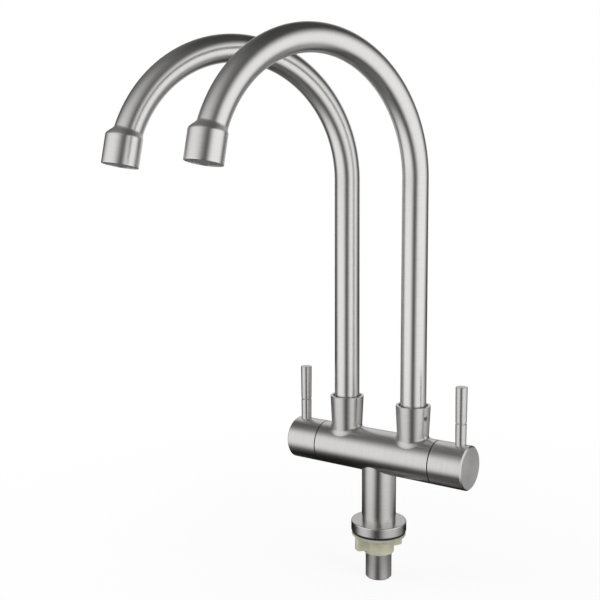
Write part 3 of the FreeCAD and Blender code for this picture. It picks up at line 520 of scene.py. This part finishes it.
def brushed_steel(name, colour, axis, centre, roughness):
    """304 stainless steel, turned and then brushed round its axis with a fine abrasive belt.

    The lines run round the axis, on walls and on end faces alike, so highlights stretch across them. The
    belt's pressure isn't even, so the gloss wanders a little.
    """
    material, tree = new_material(name)
    place = add(tree, "TexCoord").outputs["Object"]
    turn = {"X": (0, math.pi / 2, 0), "Z": (0, 0, 0)}[axis]
    local = add(
        tree, "Mapping", {"Vector": place, "Location": centre, "Rotation": turn}, vector_type="TEXTURE"
    )
    parts = add(tree, "SeparateXYZ", {0: local.outputs[0]})
    flat = add(tree, "CombineXYZ", {0: parts.outputs[0], 1: parts.outputs[1]})
    radius = add(tree, "VectorMath", {0: flat.outputs[0]}, operation="LENGTH")
    across = add(tree, "Math", {0: parts.outputs[2], 1: radius.outputs["Value"]}, operation="ADD")
    fine = add(tree, "Math", {0: across.outputs[0], 1: 1 / BRUSHED_LINE}, operation="MULTIPLY")
    slow = add(tree, "VectorMath", {0: flat.outputs[0], "Scale": 1 / LINE_LENGTH}, operation="SCALE")
    slow_parts = add(tree, "SeparateXYZ", {0: slow.outputs[0]})
    grain_place = add(tree, "CombineXYZ", {
        0: slow_parts.outputs[0], 1: slow_parts.outputs[1], 2: fine.outputs[0],
    })
    grain = add(tree, "TexNoise", {
        "Vector": grain_place.outputs[0], "Scale": 1.0, "Detail": 1.0, "Roughness": 0.5,
    })
    cloud = add(tree, "TexNoise", {"Vector": local.outputs[0], "Scale": 1 / BODY_PATCH, "Detail": 2.0})
    rough = between(tree, cloud.outputs[0], PATCH_SPAN, roughness - 0.01, roughness + 0.01)
    tint = tinted(tree, grain.outputs[0], GRAIN_SPAN, shade(colour, 0.97), shade(colour, 1.01))
    bump = add(tree, "Bump", {"Strength": 0.005, "Distance": LINE_DEPTH, "Height": grain.outputs[0]})
    around = add(tree, "VectorMath", {0: (0, 0, 1), 1: local.outputs[0]}, operation="CROSS_PRODUCT")
    turned_back = add(
        tree, "Mapping", {"Vector": around.outputs[0], "Rotation": turn}, vector_type="POINT"
    )
    world = add(
        tree, "VectorTransform", {0: turned_back.outputs[0]}, vector_type="VECTOR",
        convert_from="OBJECT", convert_to="WORLD",
    )
    shader = add(tree, "BsdfPrincipled", {
        "Base Color": tint, "Metallic": 1.0, "Roughness": rough, "Normal": bump.outputs[0],
        "Anisotropic": 0.6, "Anisotropic Rotation": 0.25, "Tangent": world.outputs[0],
    })
    finish_material(tree, shader.outputs[0])
    return material


def satin_tube_steel(name, colour, blended=0.0):
    """304 stainless steel tube, drawn, bent and then buffed satin round its wall.

    The buffing lines run round the tube, so highlights stretch along it, and they are finer than on the
    turned pieces. The weld to an outlet is blended by hand over a length from the piece's start, which leaves
    it rougher there, so its highlights are softer.
    """
    material, tree = new_material(name)
    uv = add(tree, "UVMap", uv_map="Grain").outputs[0]
    stretched = add(
        tree, "Mapping", {"Vector": uv, "Scale": (1 / BUFFED_LINE, 1 / LINE_LENGTH, 1.0)},
        vector_type="POINT",
    )
    grain = add(
        tree, "TexNoise", {"Vector": stretched.outputs[0], "Scale": 1.0, "Detail": 3.0},
        noise_dimensions="2D",
    )
    place = add(tree, "TexCoord").outputs["Object"]
    cloud = add(tree, "TexNoise", {"Vector": place, "Scale": 1 / TUBE_PATCH, "Detail": 2.0})
    rough = between(tree, cloud.outputs[0], PATCH_SPAN, 0.28, 0.30)
    if blended:
        # The weld's extra roughness fades out round the end of the blended length
        along = add(tree, "SeparateXYZ", {0: uv}).outputs[0]
        weld = between(tree, along, (0.8 * blended, 1.1 * blended), 0.12, 0.0)
        rough = add(tree, "Math", {0: rough, 1: weld}, operation="ADD").outputs[0]
    tint = tinted(tree, grain.outputs[0], GRAIN_SPAN, shade(colour, 0.96), colour)
    bump = add(tree, "Bump", {"Strength": 0.004, "Distance": LINE_DEPTH, "Height": grain.outputs[0]})
    tangent = add(tree, "Tangent", direction_type="UV_MAP", uv_map="Grain")
    shader = add(tree, "BsdfPrincipled", {
        "Base Color": tint, "Metallic": 1.0, "Roughness": rough, "Normal": bump.outputs[0],
        "Anisotropic": 0.5, "Tangent": tangent.outputs[0],
    })
    finish_material(tree, shader.outputs[0])
    return material


def plain_metal(name, colour, roughness, grain_mm):
    """A small machined part: even metal with a fine random tool texture, which makes its gloss uneven."""
    material, tree = new_material(name)
    place = add(tree, "TexCoord").outputs["Object"]
    grain = add(tree, "TexNoise", {"Vector": place, "Scale": 1 / (grain_mm * MM), "Detail": 3.0})
    rough = between(tree, grain.outputs[0], PATCH_SPAN, roughness - 0.05, roughness + 0.05)
    tint = tinted(tree, grain.outputs[0], PATCH_SPAN, shade(colour, 0.92), colour)
    bump = add(tree, "Bump", {"Strength": 0.05, "Distance": LINE_DEPTH, "Height": grain.outputs[0]})
    shader = add(tree, "BsdfPrincipled", {
        "Base Color": tint, "Metallic": 1.0, "Roughness": rough, "Normal": bump.outputs[0],
    })
    finish_material(tree, shader.outputs[0])
    return material


def moulded(name, colour, roughness, grain_mm, relief=0.1, soft=0.0):
    """A moulded or pressed solid: rubber, nylon, fibre, ceramic or plastic, by its colour, gloss and grain.

    The grain breaks up the gloss, and the shade wanders in soft patches. Light enters a soft one and comes
    out again nearby, as in natural nylon.
    """
    material, tree = new_material(name)
    place = add(tree, "TexCoord").outputs["Object"]
    grain = add(tree, "TexNoise", {
        "Vector": place, "Scale": 1 / (grain_mm * MM), "Detail": 4.0, "Roughness": 0.6,
    })
    cloud = add(tree, "TexNoise", {"Vector": place, "Scale": 1 / MOULDED_PATCH, "Detail": 2.0})
    rough = between(tree, grain.outputs[0], PATCH_SPAN, roughness - 0.06, roughness + 0.06)
    tint = tinted(tree, cloud.outputs[0], PATCH_SPAN, shade(colour, 0.93), shade(colour, 1.03))
    bump = add(tree, "Bump", {"Strength": relief, "Distance": 0.1 * MM, "Height": grain.outputs[0]})
    shader = add(tree, "BsdfPrincipled", {
        "Base Color": tint, "Roughness": rough, "Normal": bump.outputs[0],
        "Subsurface Weight": soft, "Subsurface Radius": (1.0, 0.9, 0.6), "Subsurface Scale": 3 * MM,
    })
    finish_material(tree, shader.outputs[0])
    return material


def dress(material, *nodes):
    """Puts a material in every slot of CAD nodes."""
    for name in nodes:
        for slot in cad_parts[name].material_slots:
            slot.material = material


def stands_for(made, material, body, node):
    """Gives a new piece its material, body and finish slot, and hides the CAD node that it stands for."""
    made.data.materials.append(material)
    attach(made, body)
    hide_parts(node)


def both_sides(*endings):
    """The left and right nodes with these endings."""
    return [f"{side}_{ending}" for side in SIDES for ending in endings]


def hub_height(name):
    """The height of the barrel's axis, which is the middle of a side's handle hub."""
    low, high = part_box(f"{name}_handle_hub")
    return (low.z + high.z) / 2


# Operators

class SINK_TAP_OT_goosenecks(Operator):
    """Makes each gooseneck's tube and outlet as surfaces whose grain follows the bend"""

    bl_idname = f"{PREFIX}.goosenecks"
    bl_label = "Goosenecks"

    def execute(self, context):
        tube = context.scene.sink_tap_tube
        outlet = context.scene.sink_tap_outlet
        colour = context.scene.sink_tap_finishes.tube_steel
        bent = satin_tube_steel("Stainless tube, satin buffed", colour)
        swell = math.hypot(outlet.out, outlet.drop)
        welded = satin_tube_steel("Stainless outlet, welded and satin buffed", colour, swell)
        for name, side in SIDES.items():
            swing = tube.left_swing if name == "left" else tube.right_swing
            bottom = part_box(f"{name}_spout_tube")[0].z
            shapes = {
                "tube": ("spout_tube", bent, gooseneck(tube, side, swing, bottom)),
                "spout_outlet": ("outlet", welded, outlet_wall(tube, outlet, side, swing)),
            }
            for ending, (node, steel, (points, places)) in shapes.items():
                made = surface(f"{name}_{ending}", points, wrap_u=True, wrap_v=True, uv=places)
                stands_for(made, steel, f"{name}_spout", f"{name}_{node}")
        return {"FINISHED"}


class SINK_TAP_OT_welds(Operator):
    """Makes the ground weld that blends each spout socket into the barrel"""

    bl_idname = f"{PREFIX}.welds"
    bl_label = "Socket welds"

    def execute(self, context):
        weld = context.scene.sink_tap_weld
        colour = context.scene.sink_tap_finishes.body_steel
        for name, side in SIDES.items():
            place = side * context.scene.sink_tap_tube.riser_offset
            points = weld_blend(weld, place, hub_height("left"))
            made = surface(f"{name}_weld", points, wrap_u=True, wrap_v=True)
            steel = brushed_steel(
                f"Stainless steel, weld ground smooth, {name}", colour, "Z", (place, 0, 0), roughness=0.34
            )
            made.data.materials.append(steel)
            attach(made, "tap")
        return {"FINISHED"}


class SINK_TAP_OT_levers(Operator):
    """Makes each lever's stem and grip as turned surfaces with a groove between them"""

    bl_idname = f"{PREFIX}.levers"
    bl_label = "Levers"

    def execute(self, context):
        lever = context.scene.sink_tap_lever
        colour = context.scene.sink_tap_finishes.body_steel
        for name in SIDES:
            low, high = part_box(f"{name}_lever_grip")
            place = ((low.x + high.x) / 2, 0, 0)
            steel = brushed_steel(
                f"Stainless steel, brushed, {name} lever", colour, "Z", place, roughness=0.32
            )
            seat = hub_height(name) + lever.seat
            under = low.z - lever.groove
            foot = (
                (0, seat), (lever.foot, seat), (lever.joint, under), (lever.neck, under),
                (lever.neck, low.z + lever.groove), (0, low.z + lever.groove),
            )
            grip = ((0, low.z), (lever.joint, low.z), (lever.top, high.z), (0, high.z))
            for ending, corners, node in (("foot", foot, "lever_stem"), ("grip", grip, "lever_grip")):
                points = turned(corners, place, lever.step, lever.softness)
                made = surface(f"{name}_{ending}", points, wrap_v=True, merge=True)
                stands_for(made, steel, f"{name}_handle", f"{name}_{node}")
        return {"FINISHED"}


class SINK_TAP_OT_clamp(Operator):
    """Makes the gasket, washer and winged nut with the soft corners of moulded parts"""

    bl_idname = f"{PREFIX}.clamp"
    bl_label = "Gasket, washer and nut"

    def execute(self, context):
        clamp = context.scene.sink_tap_clamp
        finishes = context.scene.sink_tap_finishes
        rubber = moulded("EPDM rubber, moulded", finishes.rubber, roughness=0.6, grain_mm=0.3, relief=0.2)
        fibre = moulded(
            "Vulcanised fibre, pressed", finishes.fibre, roughness=0.6, grain_mm=0.35, relief=0.35
        )
        nylon = moulded(
            "Natural nylon, moulded", finishes.nylon, roughness=0.36, grain_mm=0.8, relief=0.08, soft=0.35
        )
        rings = (
            ("gasket", "deck_gasket", "tap", rubber, "black_rubber"),
            ("washer", "clamp_washer", "washer", fibre, "washer_fibre"),
        )
        for name, node, body, material, slot in rings:
            low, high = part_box(node)
            points = soft_ring(clamp.shank + RING_CLEARANCE, high.x, low.z, high.z)
            stands_for(surface(name, points, wrap_u=True, wrap_v=True), material, body, node)
        low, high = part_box("mounting_nut")
        points = winged_nut(clamp, low.z, high.z)
        nut = surface("winged_nut", points, wrap_u=True, wrap_v=True, merge=True)
        stands_for(nut, nylon, "nut", "mounting_nut")
        return {"FINISHED"}


class SINK_TAP_OT_finishes(Operator):
    """Gives every CAD node that stays its finish"""

    bl_idname = f"{PREFIX}.finishes"
    bl_label = "Finishes"

    def execute(self, context):
        finishes = context.scene.sink_tap_finishes
        steel = finishes.body_steel
        barrel_place = (0, 0, hub_height("left"))
        middle = (0, 0, 0)
        barrel = brushed_steel("Stainless steel, brushed, barrel", steel, "X", barrel_place, roughness=0.30)
        column = brushed_steel("Stainless steel, brushed, stem", steel, "Z", middle, roughness=0.28)
        shank = brushed_steel(
            "Stainless steel, rolled, shank", finishes.shank_steel, "Z", middle, roughness=0.36
        )
        dress(barrel, "valve_body", *both_sides("handle_hub"))
        dress(column, "stem_column", "base_flange")
        dress(shank, "inlet_shank")
        for name, side in SIDES.items():
            place = (side * context.scene.sink_tap_tube.riser_offset, 0, 0)
            socket = brushed_steel(
                f"Stainless steel, brushed, {name} socket", steel, "Z", place, roughness=0.33
            )
            dress(socket, f"{name}_spout_socket")
        small = plain_metal(
            "Stainless steel, machined", finishes.small_steel, roughness=0.3, grain_mm=0.3
        )
        brass = plain_metal("Brass, machined", finishes.brass, roughness=0.25, grain_mm=0.4)
        alumina = moulded(
            "Alumina, sintered", finishes.alumina, roughness=0.25, grain_mm=0.2, relief=0.02
        )
        rubber = moulded(
            "Nitrile rubber, moulded", finishes.rubber, roughness=0.6, grain_mm=0.3, relief=0.2
        )
        acetal = moulded("Acetal, moulded", finishes.acetal, roughness=0.4, grain_mm=0.3)
        dress(small, *both_sides("socket_screw", "handle_screw", "circlip", "aerator_screen"))
        dress(brass, *both_sides("cartridge_body", "spindle", "spout_foot"))
        dress(alumina, *both_sides("fixed_disc", "moving_disc"))
        dress(rubber, *both_sides(
            "seat_seal", "valve_gasket", "spout_o_ring_1", "spout_o_ring_2", "aerator_seal",
            "spindle_o_ring",
        ))
        dress(acetal, *both_sides("swivel_bush", "aerator_ring", "aerator_core"))
        return {"FINISHED"}


class SINK_TAP_OT_studio(Operator):
    """Sets up the camera, the white floor and world, the lamps, and the tent that the steel mirrors"""

    bl_idname = f"{PREFIX}.studio"
    bl_label = "Studio"

    def execute(self, context):
        studio = context.scene.sink_tap_studio
        make_camera(context.scene, studio)
        make_world(context.scene)
        make_floor(studio)
        make_tent(studio)
        for card in CARDS:
            make_card(studio, *card)
        for lamp in LAMPS:
            make_lamp(*lamp)
        return {"FINISHED"}


# Studio

SENSOR_WIDTH = 36
NEAREST_SEEN = 0.01

# Strength of the white world as light, where the camera and mirrors see it at 1
WORLD_LIGHT = 0.62

# Soft lamps: name, place, width in metres and power in watts, and the place on the tap that both point at
LAMPS = (
    ("Lamp left", (-1.2, -0.9, 0.9), 1.0, 9.0),
    ("Lamp right", (1.1, -0.2, 0.8), 1.0, 7.0),
)
LAMP_TARGET = (-0.03, -0.08, 0.17)

# How many rings and facets the floor, the cards and the tent have, and the pinholes left in the middle of an
# oval, as a share of its size, and at the tent's poles, as an angle
OVAL_RINGS = 24
TENT_RINGS = 25
STAGE_FACETS = 48
OVAL_PINHOLE = 1e-6
TENT_PINHOLE = 1e-3

# How much of the floor near the tap is plain white to the camera, and the distances between which that grows
# to all of it
NEAR_WHITE = 0.86
WHITE_SPAN = (0.08, 0.5)

# Elevations between which the tent goes from its floor's painted shade to its cloth's colour
CLOTH_SPAN = (math.radians(-58), math.radians(-40))

# Windows of the tent: middle azimuth and elevation, half width and half height in degrees, how square, how
# soft at its edge as a share of its size, its share of white, and how far its azimuth moves per degree of
# elevation. The one with a half width of 2000 is open all round
WINDOWS = (
    (66, 1, 44, 45, 2.7, 0.42, 0.97, 0.22),
    (-65, -8, 44, 38, 2.5, 0.42, 0.97, 0.0),
    (-45, 33, 38, 26, 1.9, 0.70, 0.52, 0.0),
    (122, -28, 20, 12, 2.0, 0.60, 0.36, 0.0),
    (180, 20, 30, 26, 3.0, 0.55, 0.72, 0.0),
    (-54, 52, 87, 23, 2.4, 0.50, 0.13, 0.0),
    (0, -90, 2000, 27, 2.0, 0.25, 0.13, 0.0),
    (-132, -42, 32, 18, 2.2, 0.5, 0.08, 0.0),
)

# Black cards that only mirrored rays meet, which paint dark reflections in the stem and the barrel, the lower
# one
# standing for the shade under the tap: name, middle, half length, half width, turn from +X, radius of a hole
# round the tap's axis, and the share of the card where its soft edge starts
CARDS = (
    ("Card behind", (-0.025, 0.052, -0.016), 0.13, 0.07, math.radians(30), 0.0, 0.7),
    ("Card below", (-0.038, -0.002, -0.0385), 0.148, 0.072, 0.0, 0.042, 0.8),
)

# Where the soft edge of a card's hole starts and ends, over the hole's radius
HOLE_SPAN = (1.0, 1.25)


def make_camera(scene, studio):
    """The camera at the photograph's place, turned by yaw about Z, then by pitch and roll."""
    camera = bpy.data.objects.new("Camera", bpy.data.cameras.new("Camera"))
    turn = (
        Matrix.Rotation(studio.yaw, 4, "Z")
        @ Matrix.Rotation(math.pi / 2 + studio.pitch, 4, "X")
        @ Matrix.Rotation(studio.roll, 4, "Z")
    )
    camera.matrix_world = Matrix.Translation(studio.eye) @ turn
    camera.data.lens = studio.lens
    camera.data.sensor_width = SENSOR_WIDTH
    camera.data.clip_start = NEAREST_SEEN
    scene.collection.objects.link(camera)
    scene.camera = camera


def seen_or_mirrored(tree):
    """1 for rays from the camera and for mirrored and transmitted rays, 0 for the rest."""
    path = add(tree, "LightPath")
    share = path.outputs["Is Camera Ray"]
    for kind in ("Is Glossy Ray", "Is Transmission Ray"):
        share = add(tree, "Math", {0: share, 1: path.outputs[kind]}, operation="MAXIMUM").outputs[0]
    return share


def make_world(scene):
    """A white world to the camera and in mirrors, and a softer one as light."""
    world = bpy.data.worlds.new("White sweep")
    world.use_nodes = True
    tree = world.node_tree
    tree.nodes.clear()
    strength = between(tree, seen_or_mirrored(tree), (0.0, 1.0), WORLD_LIGHT, 1.0)
    light = add(tree, "Background", {"Color": (1, 1, 1, 1), "Strength": strength})
    add(tree, "OutputWorld", {"Surface": light.outputs[0]})
    scene.world = world
    scene.view_settings.view_transform = "Standard"


def make_lamp(name, place, size, power):
    """A soft square lamp that points at the tap. The steel mirrors the white world and not the lamp."""
    lamp = bpy.data.lights.new(name, "AREA")
    lamp.size = size
    lamp.energy = power
    made = bpy.data.objects.new(name, lamp)
    direction = np.array(place) - np.array(LAMP_TARGET)
    turn = Matrix.Rotation(math.atan2(direction[0], -direction[1]), 4, "Z")
    lean = Matrix.Rotation(math.atan2(math.hypot(*direction[:2]), direction[2]), 4, "X")
    made.matrix_world = Matrix.Translation(place) @ turn @ lean
    made.visible_glossy = False
    bpy.context.scene.collection.objects.link(made)


def oval(name, centre, length, width, turn=0.0):
    """A flat oval sheet facing up, turned about Z, in rings that grow by squares from a pinhole."""
    rings = np.linspace(0, 1, OVAL_RINGS)[:, None] ** 2 + OVAL_PINHOLE
    around = np.linspace(0, -2 * np.pi, STAGE_FACETS, endpoint=False)
    along, across = length * rings * np.cos(around), width * rings * np.sin(around)
    x = along * math.cos(turn) - across * math.sin(turn)
    y = along * math.sin(turn) + across * math.cos(turn)
    return surface(name, np.stack([x, y, 0 * x], axis=-1) + np.array(centre), wrap_v=True)


def reach(tree, centre, length, width, turn=0.0):
    """How far a point is from a centre, over a length and a width that are turned about Z."""
    place = add(tree, "TexCoord").outputs["Object"]
    local = add(tree, "Mapping", {
        "Vector": place, "Location": centre, "Rotation": (0, 0, turn), "Scale": (length, width, 1),
    }, vector_type="TEXTURE")
    return add(tree, "VectorMath", {0: local.outputs[0]}, operation="LENGTH").outputs["Value"]


def finish_stage(made, material, tree, shader):
    """Gives a studio piece its material, which may shine but is not sampled as a lamp."""
    finish_material(tree, shader)
    material.cycles.emission_sampling = "NONE"
    made.data.materials.append(material)


def make_floor(studio):
    """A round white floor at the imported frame's lowest height.

    The camera sees it nearly white by itself, with the tap's shadow faint near the tap and gone further off,
    where the floor runs into the white world.
    """
    centre = (0, 0, CAD_BOX[0].z)
    floor = oval("Floor", centre, studio.floor_radius, studio.floor_radius)
    material, tree = new_material("White paper floor")
    plain = add(tree, "BsdfDiffuse", {"Color": linear(studio.paper)})
    white = add(tree, "Emission", {"Color": (1, 1, 1, 1), "Strength": 1.0})
    path = add(tree, "LightPath")
    far = between(tree, reach(tree, centre, 1, 1), WHITE_SPAN, NEAR_WHITE, 1.0)
    share = add(tree, "Math", {0: path.outputs["Is Camera Ray"], 1: far}, operation="MULTIPLY")
    mixed = add(tree, "MixShader", {0: share.outputs[0], 1: plain.outputs[0], 2: white.outputs[0]})
    finish_stage(floor, material, tree, mixed.outputs[0])
    floor.visible_glossy = False


def opening(tree, azimuth, elevation, window):
    """How far one window of the tent is open in a direction, from 0 to its share of white, with soft edges.

    The window is a superellipse: its two offsets, each over its half size and raised to how square it is, add
    up to one on its edge.
    """
    middle, rise, half_width, half_height, square, soft, share, lean = window
    up = add(tree, "Math", {0: elevation, 1: math.radians(rise)}, operation="SUBTRACT")
    leant = add(
        tree, "Math", {0: up.outputs[0], 1: lean, 2: math.radians(middle)}, operation="MULTIPLY_ADD"
    )
    off = add(tree, "Math", {0: azimuth, 1: leant.outputs[0]}, operation="SUBTRACT")
    wrapped = add(tree, "Math", {0: off.outputs[0], 1: math.pi, 2: -math.pi}, operation="WRAP")
    total = 0.0
    for offset, half in ((wrapped, half_width), (up, half_height)):
        size = add(tree, "Math", {0: offset.outputs[0]}, operation="ABSOLUTE")
        ratio = add(tree, "Math", {0: size.outputs[0], 1: math.radians(half)}, operation="DIVIDE")
        raised = add(tree, "Math", {0: ratio.outputs[0], 1: square}, operation="POWER")
        total = add(tree, "Math", {0: raised.outputs[0], 1: total}, operation="ADD").outputs[0]
    distance = add(tree, "Math", {0: total, 1: 1 / square}, operation="POWER")
    edge = {0: distance.outputs[0], 1: 1 + soft, 2: 1 - soft, 3: 0.0, 4: share}
    return add(tree, "MapRange", edge, interpolation_type="SMOOTHSTEP").outputs["Result"]


def only_mirrored(made):
    """Leaves a studio piece visible to mirrored rays alone, as part of the studio."""
    made.visible_camera = False
    made.visible_diffuse = False
    made.visible_shadow = False
    made.visible_transmission = False


def make_tent(studio):
    """A dark cloth tent round the tap, a sphere of latitude and longitude, with windows onto the white world.

    The steel mirrors two bright windows, one on each side of the front, with dark cloth between them, and
    fainter ones behind, above and below. Towards its floor the cloth darkens to a painted shade. Each
    direction on the cloth is read from the tent's middle, with azimuth 0 towards the front.
    """
    latitude = np.linspace(-np.pi / 2 + TENT_PINHOLE, np.pi / 2 - TENT_PINHOLE, TENT_RINGS)
    longitude = np.linspace(0, 2 * np.pi, STAGE_FACETS, endpoint=False)
    level = np.cos(latitude)[:, None]
    x, y = level * np.cos(longitude), level * np.sin(longitude)
    z = np.repeat(np.sin(latitude)[:, None], longitude.size, axis=1)
    sphere = np.stack([x, y, z], axis=-1) * studio.tent_radius + np.array(studio.tent_centre)
    tent = surface("Tent", sphere, wrap_v=True)
    material, tree = new_material("Dark cloth tent with windows")
    place = add(tree, "TexCoord").outputs["Object"]
    offset = add(tree, "VectorMath", {0: place, 1: tuple(studio.tent_centre)}, operation="SUBTRACT")
    away = add(tree, "VectorMath", {0: offset.outputs[0]}, operation="NORMALIZE")
    parts = add(tree, "SeparateXYZ", {0: away.outputs[0]})
    heading = add(tree, "Math", {0: parts.outputs[1], 1: parts.outputs[0]}, operation="ARCTAN2")
    front = math.atan2(studio.eye[1], studio.eye[0])
    azimuth = add(tree, "Math", {0: heading.outputs[0], 1: front}, operation="SUBTRACT").outputs[0]
    elevation = add(tree, "Math", {0: parts.outputs[2]}, operation="ARCSINE").outputs[0]
    shut = 1.0
    for window in WINDOWS:
        open_share = opening(tree, azimuth, elevation, window)
        rest = add(tree, "Math", {0: 1.0, 1: open_share}, operation="SUBTRACT")
        shut = add(tree, "Math", {0: shut, 1: rest.outputs[0]}, operation="MULTIPLY").outputs[0]
    # Painted shade: the cloth darkens towards the tent's floor
    colour = tinted(tree, elevation, CLOTH_SPAN, studio.shadow, studio.dark)
    cloth = add(tree, "Emission", {"Color": colour, "Strength": 1.0})
    clear = add(tree, "BsdfTransparent")
    mixed = add(tree, "MixShader", {0: shut, 1: clear.outputs[0], 2: cloth.outputs[0]})
    finish_stage(tent, material, tree, mixed.outputs[0])
    only_mirrored(tent)


def make_card(studio, name, centre, length, width, turn, hole, edge_start):
    """An oval black card with a soft edge: painted dark reflections in the stem's and barrel's edges and
    undersides.
    """
    card = oval(name, centre, length, width, turn)
    material, tree = new_material("Black velvet, " + name.lower())
    # Painted shade: a dark sheet that the steel mirrors where the shade under the tap would be
    black = add(tree, "Emission", {"Color": linear(studio.painted_shade), "Strength": 1.0})
    clear = add(tree, "BsdfTransparent")
    open_share = between(tree, reach(tree, centre, length, width, turn), (edge_start, 1.0), 0.0, 1.0)
    if hole:
        inside = between(tree, reach(tree, (0, 0, centre[2]), hole, hole), HOLE_SPAN, 1.0, 0.0)
        open_share = add(tree, "Math", {0: open_share, 1: inside}, operation="MAXIMUM").outputs[0]
    mixed = add(tree, "MixShader", {0: open_share, 1: black.outputs[0], 2: clear.outputs[0]})
    finish_stage(card, material, tree, mixed.outputs[0])
    only_mirrored(card)


class SINK_TAP_PT_panel(Panel):
    """Lists the tap's sizes and colours and the buttons that make it, in the 3D view's sidebar"""

    bl_idname = "SINK_TAP_PT_panel"
    bl_label = "Sink tap"
    bl_space_type = "VIEW_3D"
    bl_region_type = "UI"
    bl_category = "Sink Tap"

    def draw(self, context):
        for group in SETTINGS:
            settings = getattr(context.scene, group)
            box = self.layout.box()
            for name in settings.__annotations__:
                box.prop(settings, name)
        for operator in OPERATORS:
            self.layout.operator(operator.bl_idname)


OPERATORS = (
    SINK_TAP_OT_goosenecks, SINK_TAP_OT_welds, SINK_TAP_OT_levers, SINK_TAP_OT_clamp,
    SINK_TAP_OT_finishes, SINK_TAP_OT_studio,
)
SETTINGS = {
    "sink_tap_tube": TubeSettings,
    "sink_tap_outlet": OutletSettings,
    "sink_tap_weld": WeldSettings,
    "sink_tap_lever": LeverSettings,
    "sink_tap_clamp": ClampSettings,
    "sink_tap_finishes": FinishSettings,
    "sink_tap_studio": StudioSettings,
}


def register():
    for group in (*SETTINGS.values(), *OPERATORS, SINK_TAP_PT_panel):
        bpy.utils.register_class(group)
    for name, group in SETTINGS.items():
        setattr(bpy.types.Scene, name, PointerProperty(type=group))


def unregister():
    for name in SETTINGS:
        delattr(bpy.types.Scene, name)
    for group in (SINK_TAP_PT_panel, *reversed(OPERATORS), *SETTINGS.values()):
        bpy.utils.unregister_class(group)


def main():
    register()
    bpy.ops.sink_tap.goosenecks()
    bpy.ops.sink_tap.welds()
    bpy.ops.sink_tap.levers()
    bpy.ops.sink_tap.clamp()
    bpy.ops.sink_tap.finishes()
    bpy.ops.sink_tap.studio()


if __name__ == "__main__":
    main()
